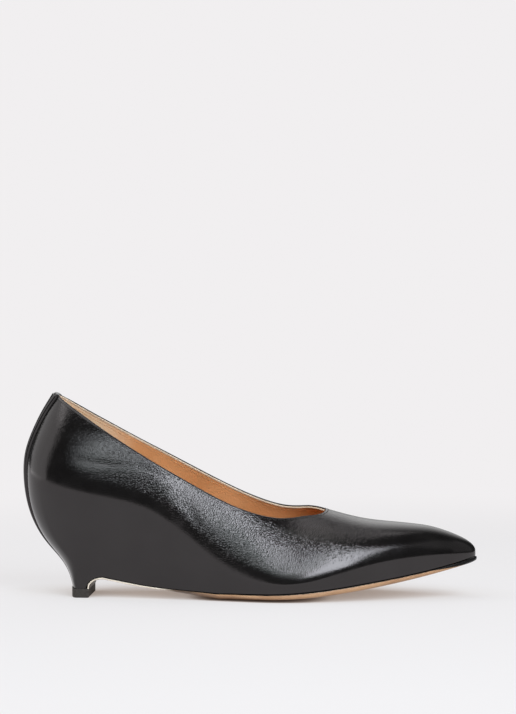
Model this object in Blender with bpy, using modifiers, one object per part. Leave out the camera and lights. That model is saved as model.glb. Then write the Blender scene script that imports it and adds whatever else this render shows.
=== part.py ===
"""Leather-covered wedge pump with a carved-out heel, for the right foot, worked out from its last.

The shoe stands on the floor with +Z up, its toe towards +X and its outer (lateral) side towards -Y.
Named sizes and tables are in millimetres. A station is a distance along the shoe from its hindmost point.
Every piece follows one surface, the outside of the leather, which the sections below give: on each side
a section runs from the hem at the sole, out to the widest line, and in again up to the collar or, in front
of the throat, to the ridge of the vamp.
"""

import bmesh
import bpy
import numpy as np

MM = 0.001

# Driving sizes
SHOE_LENGTH = 252.0
COLLAR_BACK_STATION = 17.4
THROAT_STATION = 168.0
TOE_STATION = 251.0
COLLAR_BACK_HEIGHT = 112.0
WALL = 1.6
GAP = 0.3
CORE_GAP = 0.45
INSOLE_THICKNESS = 2.0
FRAME_ORIGIN = (125.7, 0.3)

# Foot of the wedge, its breast and the line of the sole
TOP_PIECE_HEIGHT = 4.7
FOOT_TOP = TOP_PIECE_HEIGHT + GAP
BREAST_STATION = 35.8
BREAST_RUN = 9.4
ARCH_HEIGHT = 10.5
ARCH_END = 110.0
ARCH_POWER = 1.1
SPRING_STATION = 136.0
TOE_SPRING = 20.2
SPRING_POWER = 1.7
FLAP_THICKNESS = 0.8
SOLE_THICKNESS = 2.6
TOE_SOLE_THICKNESS = 1.8
SOLE_THICKENS = (66.0, 118.0)
SOLE_THINS = (176.0, 236.0)
SOLE_CAMBER = 1.4
CAMBER_GROWS = (60.0, 118.0)
CAMBER_FADES = (186.0, 250.0)
CAMBER_LEFT_AT_TOE = 0.3
CAMBER_FLAT_SHARE = 0.5
WAIST_BEVEL = 0.55
BEVEL_GROWS = (60.0, 95.0)
BEVEL_FADES = (105.0, 165.0)
SOLE_PROJECTION = 0.35

# Rounding of heel and toe in plan, of the nose in side view, and the hollow of the wedge's sides
HEEL_DEPTH_FOOT = 6.0
HEEL_DEPTH_SEAT = 38.0
HEEL_ROUND_SHARE = 0.5
LEAN_FADE = 70.0
TOE_ROUND = 14.0
NOSE_HEIGHT = 25.2
NOSE_ROUND = 30.0
UNDERCUT_POWER = 1.5
MEDIAL_INSTEP_RISE = 4.0
INSTEP_GROWS = (30.0, 80.0)
INSTEP_FADES = (130.0, THROAT_STATION)

# The wedge core, the insole and the strip over the back seam
WEDGE_FRONT_STATION = 136.0
INSOLE_FRONT_STATION = 236.0
STRIP_HALF_WIDTHS = (2.8, 6.0)
STRIP_THICKNESSES = (0.6, 1.2)

# A section's ridge height (only imagined over the collar), the height of its widest line, the place of its
# middle across the shoe, its half widths from there at the widest line and at the hem, its seat height, and
# the power of the arch over the widest line, 2 for an ellipse and less where the side turns in sooner
SECTION_COLUMNS = (
    "station", "ridge", "equator", "middle", "lateral", "medial", "hem_lateral", "hem_medial", "seat",
    "arch",
)
SECTIONS = (
    (17.4, 127.0, 66.0, 0.0, 31.0, 31.0, 17.0, 17.0, 57.0, 2.0),
    (37.0, 116.0, 61.5, 0.0, 30.6, 30.6, 18.6, 18.4, 54.5, 2.0),
    (55.0, 106.5, 57.0, 0.0, 30.8, 30.2, 21.0, 20.2, 50.0, 2.0),
    (72.0, 98.5, 51.0, 0.0, 31.2, 29.3, 23.4, 21.6, 43.0, 2.0),
    (88.0, 91.0, 39.5, 0.0, 32.0, 28.0, 26.0, 23.0, 33.5, 2.0),
    (104.0, 80.5, 25.5, 0.2, 34.0, 28.0, 29.8, 25.0, 22.5, 2.0),
    (120.0, 67.5, 15.0, 0.6, 37.2, 30.4, 34.4, 28.4, 12.5, 2.0),
    (134.0, 58.6, 11.0, 1.2, 40.2, 33.2, 38.2, 31.6, 7.0, 1.8),
    (148.0, 53.6, 10.0, 2.0, 41.4, 36.0, 39.8, 34.5, 5.6, 1.55),
    (168.0, 48.4, 13.0, 2.8, 39.2, 37.2, 37.8, 35.8, 7.3, 1.75),
    (188.0, 43.4, 18.4, 3.3, 33.6, 33.0, 32.4, 31.8, 10.0, 2.0),
    (208.0, 41.2, 22.4, 3.5, 25.9, 24.9, 24.8, 23.8, 12.5, 2.0),
    (226.0, 39.2, 24.0, 3.5, 18.2, 16.8, 17.2, 15.9, 15.4, 2.0),
    (240.0, 37.2, 24.4, 3.5, 11.9, 10.6, 11.0, 9.8, 18.1, 2.0),
    (251.0, 36.3, 24.2, 3.5, 8.0, 7.2, 7.4, 6.6, 21.6, 2.0),
)

# Height of the collar on each side
COLLAR_COLUMNS = ("station", "lateral", "medial")
COLLAR = (
    (17.4, 112.0, 112.0),
    (37.0, 99.2, 99.8),
    (64.0, 82.0, 84.6),
    (92.0, 65.6, 70.6),
    (116.0, 53.0, 58.6),
    (132.0, 47.2, 52.1),
    (146.0, 45.0, 48.9),
    (158.0, 46.0, 49.5),
    (164.0, 46.9, 49.5),
    (168.0, 48.4, 48.4),
)

# Profile of the leather down the back seam
BACK_COLUMNS = ("height", "station")
BACK = (
    (5.0, 27.1),
    (12.0, 25.2),
    (20.0, 20.9),
    (30.0, 12.6),
    (42.0, 5.5),
    (56.0, 1.6),
    (68.0, 0.7),
    (80.0, 1.9),
    (92.0, 6.2),
    (102.0, 11.2),
    (112.0, 17.4),
)

# Mesh divisions
REAR_DIVISIONS = 28
FRONT_DIVISIONS = 13
UNDERCUT_DIVISIONS = 8
ARCHED_DIVISIONS = 7
PLATE_DIVISIONS = 8
STRIP_DIVISIONS = 6
WEDGE_LEVELS = 8
SEARCH_STEPS = 4001
STRIP_SEARCH = 0.2
SHARE_CLEARANCE = 0.01
DERIVATIVE_STEP = 1e-4
MERGE_DISTANCE = 1e-6
SHARP_ANGLE = np.radians(40.0)

LATERAL, MEDIAL = -1.0, 1.0
SHARES = np.concatenate([np.linspace(0, 1, REAR_DIVISIONS + 1), np.linspace(1, 2, FRONT_DIVISIONS + 1)[1:]])
LEVELS = np.linspace(0.0, 1.0, UNDERCUT_DIVISIONS + ARCHED_DIVISIONS + 1)
EQUATOR_LEVEL = LEVELS[UNDERCUT_DIVISIONS]
ACROSS = np.linspace(-1.0, 1.0, PLATE_DIVISIONS + 1)


def smoothstep(value, low, high):
    """Rise from 0 at low to 1 at high with level ends."""
    share = np.clip((value - low) / (high - low), 0.0, 1.0)
    return share * share * (3.0 - 2.0 * share)


def quarter_round(distance, depth):
    """Height of a quarter ellipse at a distance from its end, 1 beyond its depth."""
    share = np.clip(distance / depth, 0.0, 1.0)
    return np.sqrt(1.0 - (1.0 - share) ** 2)


def spline(knots, values, at):
    """Natural cubic spline through the knots."""
    knots, values = np.asarray(knots, float), np.asarray(values, float)
    steps = np.diff(knots)
    slopes = np.diff(values) / steps
    count = len(knots)
    matrix, right = np.eye(count), np.zeros(count)
    for k in range(1, count - 1):
        matrix[k, k - 1 : k + 2] = steps[k - 1], 2.0 * (steps[k - 1] + steps[k]), steps[k]
        right[k] = 6.0 * (slopes[k] - slopes[k - 1])
    bends = np.linalg.solve(matrix, right)
    at = np.clip(np.asarray(at, float), knots[0], knots[-1])
    k = np.clip(np.searchsorted(knots, at) - 1, 0, count - 2)
    ahead, behind, step = knots[k + 1] - at, at - knots[k], steps[k]
    bent = (bends[k] * ahead**3 + bends[k + 1] * behind**3) / (6.0 * step)
    from_left = (values[k] / step - bends[k] * step / 6.0) * ahead
    from_right = (values[k + 1] / step - bends[k + 1] * step / 6.0) * behind
    return bent + from_left + from_right


def table_value(rows, columns, name, at):
    """A column of a table as a smooth curve over the table's first column."""
    knots = [row[0] for row in rows]
    values = [row[columns.index(name)] for row in rows]
    return spline(knots, values, at)


def section(name, station):
    """A column of the table of sections at a station."""
    return table_value(SECTIONS, SECTION_COLUMNS, name, station)


def station_at(share):
    """Station for a share of the shoe from the back seam (0) over the throat (1) to the toe (2)."""
    rear_length, front_length = THROAT_STATION - COLLAR_BACK_STATION, TOE_STATION - THROAT_STATION
    rear = COLLAR_BACK_STATION + rear_length * (1.0 - np.cos(np.pi * share)) / 2.0
    front = THROAT_STATION + front_length * (1.0 - np.cos(np.pi * (share - 1.0))) / 2.0
    return np.where(share < 1.0, rear, front)


def sole_thickness(station):
    """Thickness of the sole, thin over the breast and waist and thinner again at the toe."""
    waist = FLAP_THICKNESS + (SOLE_THICKNESS - FLAP_THICKNESS) * smoothstep(station, *SOLE_THICKENS)
    return waist - (SOLE_THICKNESS - TOE_SOLE_THICKNESS) * smoothstep(station, *SOLE_THINS)


def camber(station):
    """How far the sole's edge stands above its middle."""
    fade = 1.0 - (1.0 - CAMBER_LEFT_AT_TOE) * smoothstep(station, *CAMBER_FADES)
    return SOLE_CAMBER * smoothstep(station, *CAMBER_GROWS) * fade


def camber_shape(across):
    """Share of the camber at a place across the sole, from -1 to 1, level over the middle."""
    beyond = np.clip(np.abs(across) - CAMBER_FLAT_SHARE, 0.0, None) / (1.0 - CAMBER_FLAT_SHARE)
    return beyond**2


def edge_bevel(station):
    """Share of the sole's thickness that is pared away under its edge along the waist."""
    return WAIST_BEVEL * smoothstep(station, *BEVEL_GROWS) * (1.0 - smoothstep(station, *BEVEL_FADES))


def underside(station):
    """Height of the middle of the sole over the floor: arch, level tread and toe spring."""
    arch_run = ARCH_END - BREAST_STATION - BREAST_RUN
    behind = np.clip((ARCH_END - station) / arch_run, 0.0, 1.0)
    forward = np.clip((station - SPRING_STATION) / (SHOE_LENGTH - SPRING_STATION), 0.0, 1.0)
    return ARCH_HEIGHT * behind**ARCH_POWER + TOE_SPRING * forward**SPRING_POWER


def hem_height(station):
    """Height of the lower edge of the leather: foot of the wedge, breast curve, then along the sole."""
    breast_end = BREAST_STATION + BREAST_RUN
    beyond = np.maximum(station, breast_end)
    along_sole = underside(beyond) + camber(beyond) + sole_thickness(beyond) + GAP
    breast = FOOT_TOP + (along_sole - FOOT_TOP) * quarter_round(station - BREAST_STATION, BREAST_RUN)
    return np.where(station < breast_end, breast, along_sole)


def lean_fade(station):
    """Share of the back profile's lean that a section keeps."""
    return 1.0 - smoothstep(station, COLLAR_BACK_STATION, COLLAR_BACK_STATION + LEAN_FADE)


def hem_station(station):
    """Where the hem of a section lies along the shoe, since sections lean with the back of the heel."""
    return station + lean_fade(station) * (BACK[0][1] - COLLAR_BACK_STATION)


def collar_height(station, side):
    """Height of the collar on one side."""
    return table_value(COLLAR, COLLAR_COLUMNS, "lateral" if side < 0 else "medial", station)


def crown_height(station, side):
    """Ridge of the last, brought down to the nose over the toe, and higher at the medial instep."""
    ridge = section("ridge", station)
    crown = NOSE_HEIGHT + (ridge - NOSE_HEIGHT) * quarter_round(TOE_STATION - station, NOSE_ROUND)
    instep = smoothstep(station, *INSTEP_GROWS) * (1.0 - smoothstep(station, *INSTEP_FADES))
    return crown + instep * (MEDIAL_INSTEP_RISE if side > 0 else 0.0)


def top_height(station, side):
    """Upper edge of a section: the collar, or the ridge in front of the throat."""
    return np.where(station < THROAT_STATION, collar_height(station, side), crown_height(station, side))


def outside_at(share, height, side):
    """Point on the outside of the leather at a height of a section, on one side."""
    station = station_at(share)
    names = ("lateral", "hem_lateral") if side < 0 else ("medial", "hem_medial")
    widest, hem_width = section(names[0], station), section(names[1], station)
    equator, crown = section("equator", station), crown_height(station, side)
    hem, top = hem_height(hem_station(station)), top_height(station, side)
    rise = np.clip((height - equator) / (crown - equator), 0.0, 1.0)
    drop = np.clip((equator - height) / (equator - hem), 0.0, None)
    arched = widest * np.sqrt(1.0 - rise ** section("arch", station))
    undercut = widest - (widest - hem_width) * drop**UNDERCUT_POWER
    level = np.clip((height - hem) / (top - hem), 0.0, 1.0)
    back_height = FOOT_TOP + level * (COLLAR_BACK_HEIGHT - FOOT_TOP)
    lean = table_value(BACK, BACK_COLUMNS, "station", back_height) - COLLAR_BACK_STATION
    deepens = smoothstep(level, 0.0, HEEL_ROUND_SHARE)
    heel_depth = HEEL_DEPTH_FOOT + (HEEL_DEPTH_SEAT - HEEL_DEPTH_FOOT) * deepens
    rounded = quarter_round(station - COLLAR_BACK_STATION, heel_depth)
    rounded = rounded * quarter_round(TOE_STATION - station, TOE_ROUND)
    half_width = rounded * np.where(height > equator, arched, undercut)
    along = station + lean_fade(station) * lean
    across = section("middle", station) + side * half_width
    return np.stack(np.broadcast_arrays(along, across, height), axis=-1)


def level_height(share, level, side):
    """Height on a section for a level from the hem (0) over the widest line to the top edge (1)."""
    station = station_at(share)
    equator, crown = section("equator", station), crown_height(station, side)
    hem, top = hem_height(hem_station(station)), top_height(station, side)
    below = hem + (equator - hem) * np.clip(level / EQUATOR_LEVEL, 0.0, 1.0)
    top_angle = np.arcsin(np.clip((top - equator) / (crown - equator), 0.0, 1.0))
    angle = top_angle * np.clip((level - EQUATOR_LEVEL) / (1.0 - EQUATOR_LEVEL), 0.0, 1.0)
    return np.where(level < EQUATOR_LEVEL, below, equator + (crown - equator) * np.sin(angle))


def outside_normal(share, height, side):
    """Outward normal of the leather, from differences along the shoe and up the section."""
    share, height = np.asarray(share, float), np.asarray(height, float)
    step = np.where(share < 1.0, DERIVATIVE_STEP, -DERIVATIVE_STEP)
    here = outside_at(share, height, side)
    along = (outside_at(share + step, height, side) - here) / step[..., None]
    up = outside_at(share, height + DERIVATIVE_STEP, side) - outside_at(share, height - DERIVATIVE_STEP, side)
    normal = -side * np.cross(along, up)
    return normal / np.linalg.norm(normal, axis=-1, keepdims=True)


def inside_at(share, height, side, inset):
    """Point at the same height on the surface that lies inset from the outside of the leather."""
    normal = outside_normal(share, height, side)[..., :2]
    point = outside_at(share, height, side).copy()
    point[..., :2] -= inset * normal / np.sum(normal**2, axis=-1, keepdims=True)
    point[..., 1] = np.where(np.asarray(share) <= 0.0, 0.0, point[..., 1])
    return point


def share_of_hem(station):
    """Share whose hem lies at this place along the shoe, found on a fine scale."""
    shares = np.linspace(0.0, 2.0, SEARCH_STEPS)
    return float(np.interp(station, hem_station(station_at(shares)), shares))


def shares_between(first, last):
    """The upper's own shares between two shares, with both ends."""
    within = (SHARES > first + SHARE_CLEARANCE) & (SHARES < last - SHARE_CLEARANCE)
    return np.concatenate([[first], SHARES[within], [last]])


def to_frame(points):
    """Millimetres along the last to metres in the part's frame."""
    return (np.asarray(points) - [*FRAME_ORIGIN, 0.0]) * MM


def add_grid(mesh, points):
    """A grid with its corners at rows and columns of points. Returns its faces."""
    rows, columns = points.shape[:2]
    made = bmesh.ops.create_grid(mesh, x_segments=rows - 1, y_segments=columns - 1, size=1.0)
    placed = to_frame(points)
    for vert in made["verts"]:
        row = round((vert.co.x + 1.0) / 2.0 * (rows - 1))
        column = round((vert.co.y + 1.0) / 2.0 * (columns - 1))
        vert.co = placed[row, column]
    return list({face for vert in made["verts"] for face in vert.link_faces})


def finish_object(name, mesh, material, collection):
    """Turn a bmesh into a named object in the shoe's collection."""
    data = bpy.data.meshes.new(name)
    mesh.to_mesh(data)
    mesh.free()
    data.shade_smooth()
    data.set_sharp_from_angle(angle=SHARP_ANGLE)
    data.materials.append(material)
    made = bpy.data.objects.new(name, data)
    collection.objects.link(made)
    return made


def lofted(name, rings, material, collection):
    """A closed solid through rings of points, with its ends filled."""
    mesh = bmesh.new()
    add_grid(mesh, np.concatenate([rings, rings[:, :1]], axis=1))
    bmesh.ops.remove_doubles(mesh, verts=mesh.verts, dist=MERGE_DISTANCE)
    bmesh.ops.dissolve_degenerate(mesh, edges=mesh.edges, dist=MERGE_DISTANCE)
    bmesh.ops.holes_fill(mesh, edges=mesh.edges, sides=0)
    bmesh.ops.recalc_face_normals(mesh, faces=mesh.faces)
    return finish_object(name, mesh, material, collection)


def plain_material(name, colour, roughness):
    """A material with one colour and roughness."""
    made = bpy.data.materials.new(name)
    made.use_nodes = True
    shader = made.node_tree.nodes["Principled BSDF"]
    shader.inputs["Base Color"].default_value = (*colour, 1.0)
    shader.inputs["Roughness"].default_value = roughness
    shader.inputs["Metallic"].default_value = 0.0
    return made


def make_upper(material, collection):
    """The leather from hem to collar, one wall that also wraps the wedge, open at the collar and below."""
    share, level = np.meshgrid(SHARES, LEVELS, indexing="ij")
    mesh = bmesh.new()
    for side in (LATERAL, MEDIAL):
        faces = add_grid(mesh, outside_at(share, level_height(share, level, side), side))
        if side == MEDIAL:
            bmesh.ops.reverse_faces(mesh, faces=faces)
    bmesh.ops.remove_doubles(mesh, verts=mesh.verts, dist=MERGE_DISTANCE)
    nose_tip = [vert for vert in mesh.verts if len(vert.link_edges) == 2]
    bmesh.ops.dissolve_verts(mesh, verts=nose_tip)
    upper = finish_object("upper", mesh, material, collection)
    wall = upper.modifiers.new("wall", "SOLIDIFY")
    wall.thickness = WALL * MM
    wall.offset = -1.0
    wall.use_even_offset = True
    return upper


def make_outsole(material, collection):
    """The leather sole from the toe to the breast, where it turns down the front of the wedge's foot."""
    shares = shares_between(share_of_hem(BREAST_STATION), 2.0)
    station = hem_station(station_at(shares))
    line = np.stack([station, hem_height(station)], axis=-1)
    along = np.gradient(line, axis=0)
    down = np.stack([along[:, 1], -along[:, 0]], axis=-1) / np.linalg.norm(along, axis=-1, keepdims=True)
    down[0] = 1.0, 0.0
    rings = []
    for k, share in enumerate(shares):
        edges = [inside_at(share, line[k, 1], side, -SOLE_PROJECTION) for side in (LATERAL, MEDIAL)]
        sheet = edges[0] + (edges[1] - edges[0]) * (ACROSS[:, None] + 1.0) / 2.0
        sheet[:, 2] -= camber(station[k]) * (1.0 - camber_shape(ACROSS))
        out = np.array([down[k, 0], 0.0, down[k, 1]])
        upper_face = sheet + GAP * out
        pared = 1.0 - edge_bevel(station[k]) * camber_shape(ACROSS[:, None])
        lower_face = upper_face + sole_thickness(station[k]) * pared * out
        rings.append(np.concatenate([upper_face, lower_face[::-1]]))
    return lofted("outsole", np.array(rings), material, collection)


def make_wedge(material, collection):
    """The wedge under the seat, inside the leather that wraps it."""
    rings = []
    for share in shares_between(0.0, share_of_hem(WEDGE_FRONT_STATION)):
        station = station_at(share)
        lowest, seat = hem_height(hem_station(station)), section("seat", station)
        heights = np.linspace(lowest, seat - GAP, WEDGE_LEVELS + 1)
        walls = [inside_at(share, heights, side, WALL + CORE_GAP) for side in (LATERAL, MEDIAL)]
        spread = (ACROSS[1:-1, None] + 1.0) / 2.0
        top = walls[0][-1] + (walls[1][-1] - walls[0][-1]) * spread
        floor = walls[0][0] + (walls[1][0] - walls[0][0]) * spread
        sunk = camber(hem_station(station)) * (1.0 - camber_shape(ACROSS[1:-1]))
        top[:, 2] -= sunk
        floor[:, 2] -= sunk
        rings.append(np.concatenate([walls[0], top, walls[1][::-1], floor[::-1]]))
    return lofted("heel_wedge", np.array(rings), material, collection)


def make_insole(material, collection):
    """The insole with its sock, on the wedge behind and on the sole in front."""
    rings = []
    for share in shares_between(0.0, share_of_hem(INSOLE_FRONT_STATION)):
        station = station_at(share)
        seat = np.maximum(section("seat", station), hem_height(hem_station(station)) + GAP)
        edges = [inside_at(share, seat, side, WALL + 2.0 * GAP) for side in (LATERAL, MEDIAL)]
        sheet = edges[0] + (edges[1] - edges[0]) * (ACROSS[:, None] + 1.0) / 2.0
        sheet[:, 2] -= camber(hem_station(station)) * (1.0 - camber_shape(ACROSS))
        rings.append(np.concatenate([sheet + [0.0, 0.0, INSOLE_THICKNESS], sheet[::-1]]))
    return lofted("insole", np.array(rings), material, collection)


def make_top_piece(material, collection):
    """The lift under the foot of the wedge and under the turned-down end of the sole."""
    front = BREAST_STATION + GAP + FLAP_THICKNESS
    outline = []
    for share in shares_between(0.0, share_of_hem(BREAST_STATION)):
        outline.append([outside_at(share, FOOT_TOP, side) for side in (LATERAL, MEDIAL)])
    outline.append([np.array([front, corner[1], FOOT_TOP]) for corner in outline[-1]])
    rings = []
    for row in outline:
        top = np.array(row)
        top[:, 2] = TOP_PIECE_HEIGHT
        rings.append(np.concatenate([top, (top * [1.0, 1.0, 0.0])[::-1]]))
    return lofted("top_piece", np.array(rings), material, collection)


def strip_point(level, place, rise):
    """Point of the back strip at a level, a place across it from -1 to 1 and a rise over its underside."""
    side = LATERAL if place < 0 else MEDIAL
    reach = abs(place) * np.interp(level, (0.0, 1.0), STRIP_HALF_WIDTHS)
    shares = np.linspace(0.0, STRIP_SEARCH, SEARCH_STEPS)
    row = outside_at(shares, level_height(shares, level, side), side)
    share = np.interp(reach, np.abs(row[:, 1]), shares)
    height = level_height(share, level, side)
    normal = outside_normal(share, height, side)
    if place == 0.0:
        normal[1] = 0.0
    return outside_at(share, height, side) + (GAP + rise) * normal


def make_back_strip(material, collection):
    """The narrow strip that covers the back seam from the collar to the foot, rounded across."""
    across = np.linspace(-1.0, 1.0, STRIP_DIVISIONS + 1)
    rings = []
    for level in LEVELS:
        thickness = np.interp(level, (0.0, 1.0), STRIP_THICKNESSES)
        outer = [strip_point(level, place, thickness) for place in across]
        inner = [strip_point(level, place, 0.0) for place in across]
        rings.append(np.array(outer + inner[::-1]))
    return lofted("back_strip", np.array(rings), material, collection)


def main():
    """Model the shoe's pieces in their own collection."""
    for old in list(bpy.data.objects):
        bpy.data.objects.remove(old)
    collection = bpy.data.collections.new("wedge_pump")
    bpy.context.scene.collection.children.link(collection)
    black_leather = plain_material("black_leather", (0.012, 0.011, 0.011), 0.28)
    strip_leather = plain_material("strip_leather", (0.014, 0.013, 0.013), 0.3)
    sole_leather = plain_material("sole_leather", (0.55, 0.33, 0.18), 0.5)
    sock_leather = plain_material("sock_leather", (0.50, 0.27, 0.13), 0.55)
    wedge_core = plain_material("wedge_core", (0.45, 0.36, 0.25), 0.7)
    lift_rubber = plain_material("lift_rubber", (0.015, 0.015, 0.015), 0.45)
    make_upper(black_leather, collection)
    make_outsole(sole_leather, collection)
    make_wedge(wedge_core, collection)
    make_insole(sock_leather, collection)
    make_top_piece(lift_rubber, collection)
    make_back_strip(strip_leather, collection)


main()
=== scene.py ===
"""Looks of a leather-covered wedge pump: fine leather, lining, stitching, sole and a plain studio.

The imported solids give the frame. The outside of the leather is worked out again from the solids' own sizes
at a much finer pitch, and every leather piece, lining, seam and edge is laid on that surface. Sizes are in
millimetres unless a name ends in _m. A station is a distance along the shoe from its hindmost point; in the
frame +X is towards the toe, -Y is the outer (lateral) side and +Z is up.
"""

import logging
from dataclasses import dataclass
from enum import Enum

import bmesh
import bpy
import numpy as np
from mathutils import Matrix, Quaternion, Vector


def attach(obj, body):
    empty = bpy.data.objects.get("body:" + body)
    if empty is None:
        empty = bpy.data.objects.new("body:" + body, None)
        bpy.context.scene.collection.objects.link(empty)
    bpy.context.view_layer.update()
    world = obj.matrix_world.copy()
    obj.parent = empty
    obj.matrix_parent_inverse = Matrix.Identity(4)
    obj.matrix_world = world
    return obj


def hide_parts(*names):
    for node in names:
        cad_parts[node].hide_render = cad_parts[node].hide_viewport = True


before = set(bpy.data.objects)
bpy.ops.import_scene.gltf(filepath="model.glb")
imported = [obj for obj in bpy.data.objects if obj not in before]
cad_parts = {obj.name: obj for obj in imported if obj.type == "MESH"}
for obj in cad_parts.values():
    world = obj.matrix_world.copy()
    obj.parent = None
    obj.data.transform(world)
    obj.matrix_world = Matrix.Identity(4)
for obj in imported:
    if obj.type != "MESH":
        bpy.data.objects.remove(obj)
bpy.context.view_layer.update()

LOG = logging.getLogger("wedge_pump")
MM = 0.001
WELD_DISTANCE_M = 4e-6
SHARP_ANGLE = np.radians(42.0)

Array = np.ndarray
Span = tuple[float, float]
Triple = tuple[float, float, float]
Colour = Triple
Pair = tuple[Colour, Colour]
Stops = tuple[tuple[float, Colour], ...]
Socket = bpy.types.NodeSocket
Finish = bpy.types.Material
Piece = bpy.types.Object

# Parts of a noise that are carried over: its middle, where most values lie, and nearly all of it
MIDDLE: Span = (0.3, 0.7)
CLOUDY: Span = (0.1, 0.9)


class Side(Enum):
    """Side of the shoe; the value is its sign across the frame."""

    LATERAL = -1.0
    MEDIAL = 1.0


class Slot(Enum):
    """The record's material slots; the stitches are handed one, which they do not use."""

    UPPER = "upper_leather"
    STRIP = "strip_leather"
    SOLE = "sole_leather"
    SOCK = "sock_leather"
    LIFT = "lift_rubber"


def smoothstep(value: Array, low: float, high: float) -> Array:
    """Rise from 0 at low to 1 at high with level ends: 3 t^2 - 2 t^3.

    Args:
        value: Where to read the rise.
        low: Value at which the rise starts.
        high: Value at which the rise ends.

    Returns:
        The rise at each value.
    """
    share = np.clip((value - low) / (high - low), 0.0, 1.0)
    return share * share * (3.0 - 2.0 * share)


def quarter_round(distance: Array, depth: Array) -> Array:
    """Height of a quarter ellipse at a distance from its end, 1 beyond its depth: sqrt(1 - (1 - d)^2).

    Args:
        distance: Distance from the end of the ellipse.
        depth: Length of the ellipse's half axis.

    Returns:
        The height at each distance, from 0 to 1.
    """
    share = np.clip(distance / depth, 0.0, 1.0)
    return np.sqrt(1.0 - (1.0 - share) ** 2)


def unit(vectors: Array) -> Array:
    """Vectors brought to length 1."""
    return vectors / np.linalg.norm(vectors, axis=-1, keepdims=True)


def swell(value: Array, grows: Span, fades: Span) -> Array:
    """Rise from 0 to 1 over one stretch and fall back to 0 over another."""
    return smoothstep(value, *grows) * (1.0 - smoothstep(value, *fades))


def crowded(count: int) -> Array:
    """Places from -1 to 1 that crowd towards both ends: minus the cosine of even angles."""
    return -np.cos(np.linspace(0.0, np.pi, count + 1))


@dataclass(frozen=True)
class Table:
    """Rows of sizes with named columns; the first column is what the others are read over."""

    columns: tuple[str, ...]
    rows: tuple[tuple[float, ...], ...]

    def curve(self, name: str, at: Array) -> Array:
        """A column as the natural cubic spline through its rows.

        Args:
            name: Name of the column.
            at: Places along the first column, held inside the table.

        Returns:
            The column's value at each place.
        """
        knots = np.array([row[0] for row in self.rows])
        values = np.array([row[self.columns.index(name)] for row in self.rows])
        steps = np.diff(knots)
        slopes = np.diff(values) / steps
        inner = np.arange(1, len(knots) - 1)
        matrix, right = np.eye(len(knots)), np.zeros(len(knots))
        matrix[inner, inner - 1] = steps[:-1]
        matrix[inner, inner] = 2.0 * (steps[:-1] + steps[1:])
        matrix[inner, inner + 1] = steps[1:]
        right[inner] = 6.0 * np.diff(slopes)
        bends = np.linalg.solve(matrix, right)
        at = np.clip(at, knots[0], knots[-1])
        k = np.clip(np.searchsorted(knots, at) - 1, 0, len(knots) - 2)
        ahead, behind, step = knots[k + 1] - at, at - knots[k], steps[k]
        bent = (bends[k] * ahead**3 + bends[k + 1] * behind**3) / (6.0 * step)
        from_left = (values[k] / step - bends[k] * step / 6.0) * ahead
        from_right = (values[k + 1] / step - bends[k + 1] * step / 6.0) * behind
        return bent + from_left + from_right


# A section's ridge height (only imagined over the collar), the height of its widest line, the place of its
# middle across the shoe, its half widths from there at the widest line and at the hem, its seat height, and
# the power of the arch over the widest line, 2 for an ellipse and less where the side turns in sooner
SECTIONS = Table(
    ("station", "ridge", "equator", "middle", "lateral", "medial")
    + ("hem_lateral", "hem_medial", "seat", "arch"),
    (
        (17.4, 127.0, 66.0, 0.0, 31.0, 31.0, 17.0, 17.0, 57.0, 2.0),
        (37.0, 116.0, 61.5, 0.0, 30.6, 30.6, 18.6, 18.4, 54.5, 2.0),
        (55.0, 106.5, 57.0, 0.0, 30.8, 30.2, 21.0, 20.2, 50.0, 2.0),
        (72.0, 98.5, 51.0, 0.0, 31.2, 29.3, 23.4, 21.6, 43.0, 2.0),
        (88.0, 91.0, 39.5, 0.0, 32.0, 28.0, 26.0, 23.0, 33.5, 2.0),
        (104.0, 80.5, 25.5, 0.2, 34.0, 28.0, 29.8, 25.0, 22.5, 2.0),
        (120.0, 67.5, 15.0, 0.6, 37.2, 30.4, 34.4, 28.4, 12.5, 2.0),
        (134.0, 58.6, 11.0, 1.2, 40.2, 33.2, 38.2, 31.6, 7.0, 1.8),
        (148.0, 53.6, 10.0, 2.0, 41.4, 36.0, 39.8, 34.5, 5.6, 1.55),
        (168.0, 48.4, 13.0, 2.8, 39.2, 37.2, 37.8, 35.8, 7.3, 1.75),
        (188.0, 43.4, 18.4, 3.3, 33.6, 33.0, 32.4, 31.8, 10.0, 2.0),
        (208.0, 41.2, 22.4, 3.5, 25.9, 24.9, 24.8, 23.8, 12.5, 2.0),
        (226.0, 39.2, 24.0, 3.5, 18.2, 16.8, 17.2, 15.9, 15.4, 2.0),
        (240.0, 37.2, 24.4, 3.5, 11.9, 10.6, 11.0, 9.8, 18.1, 2.0),
        (251.0, 36.3, 24.2, 3.5, 8.0, 7.2, 7.4, 6.6, 21.6, 2.0),
    ),
)

# Height of the collar on each side
COLLAR = Table(
    ("station", "lateral", "medial"),
    (
        (17.4, 112.0, 112.0),
        (37.0, 99.2, 99.8),
        (64.0, 82.0, 84.6),
        (92.0, 65.6, 70.6),
        (116.0, 53.0, 58.6),
        (132.0, 47.2, 52.1),
        (146.0, 45.0, 48.9),
        (158.0, 46.0, 49.5),
        (164.0, 46.9, 49.5),
        (168.0, 48.4, 48.4),
    ),
)

# Profile of the leather down the back seam
BACK = Table(
    ("height", "station"),
    (
        (5.0, 27.1),
        (12.0, 25.2),
        (20.0, 20.9),
        (30.0, 12.6),
        (42.0, 5.5),
        (56.0, 1.6),
        (68.0, 0.7),
        (80.0, 1.9),
        (92.0, 6.2),
        (102.0, 11.2),
        (112.0, 17.4),
    ),
)


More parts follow.
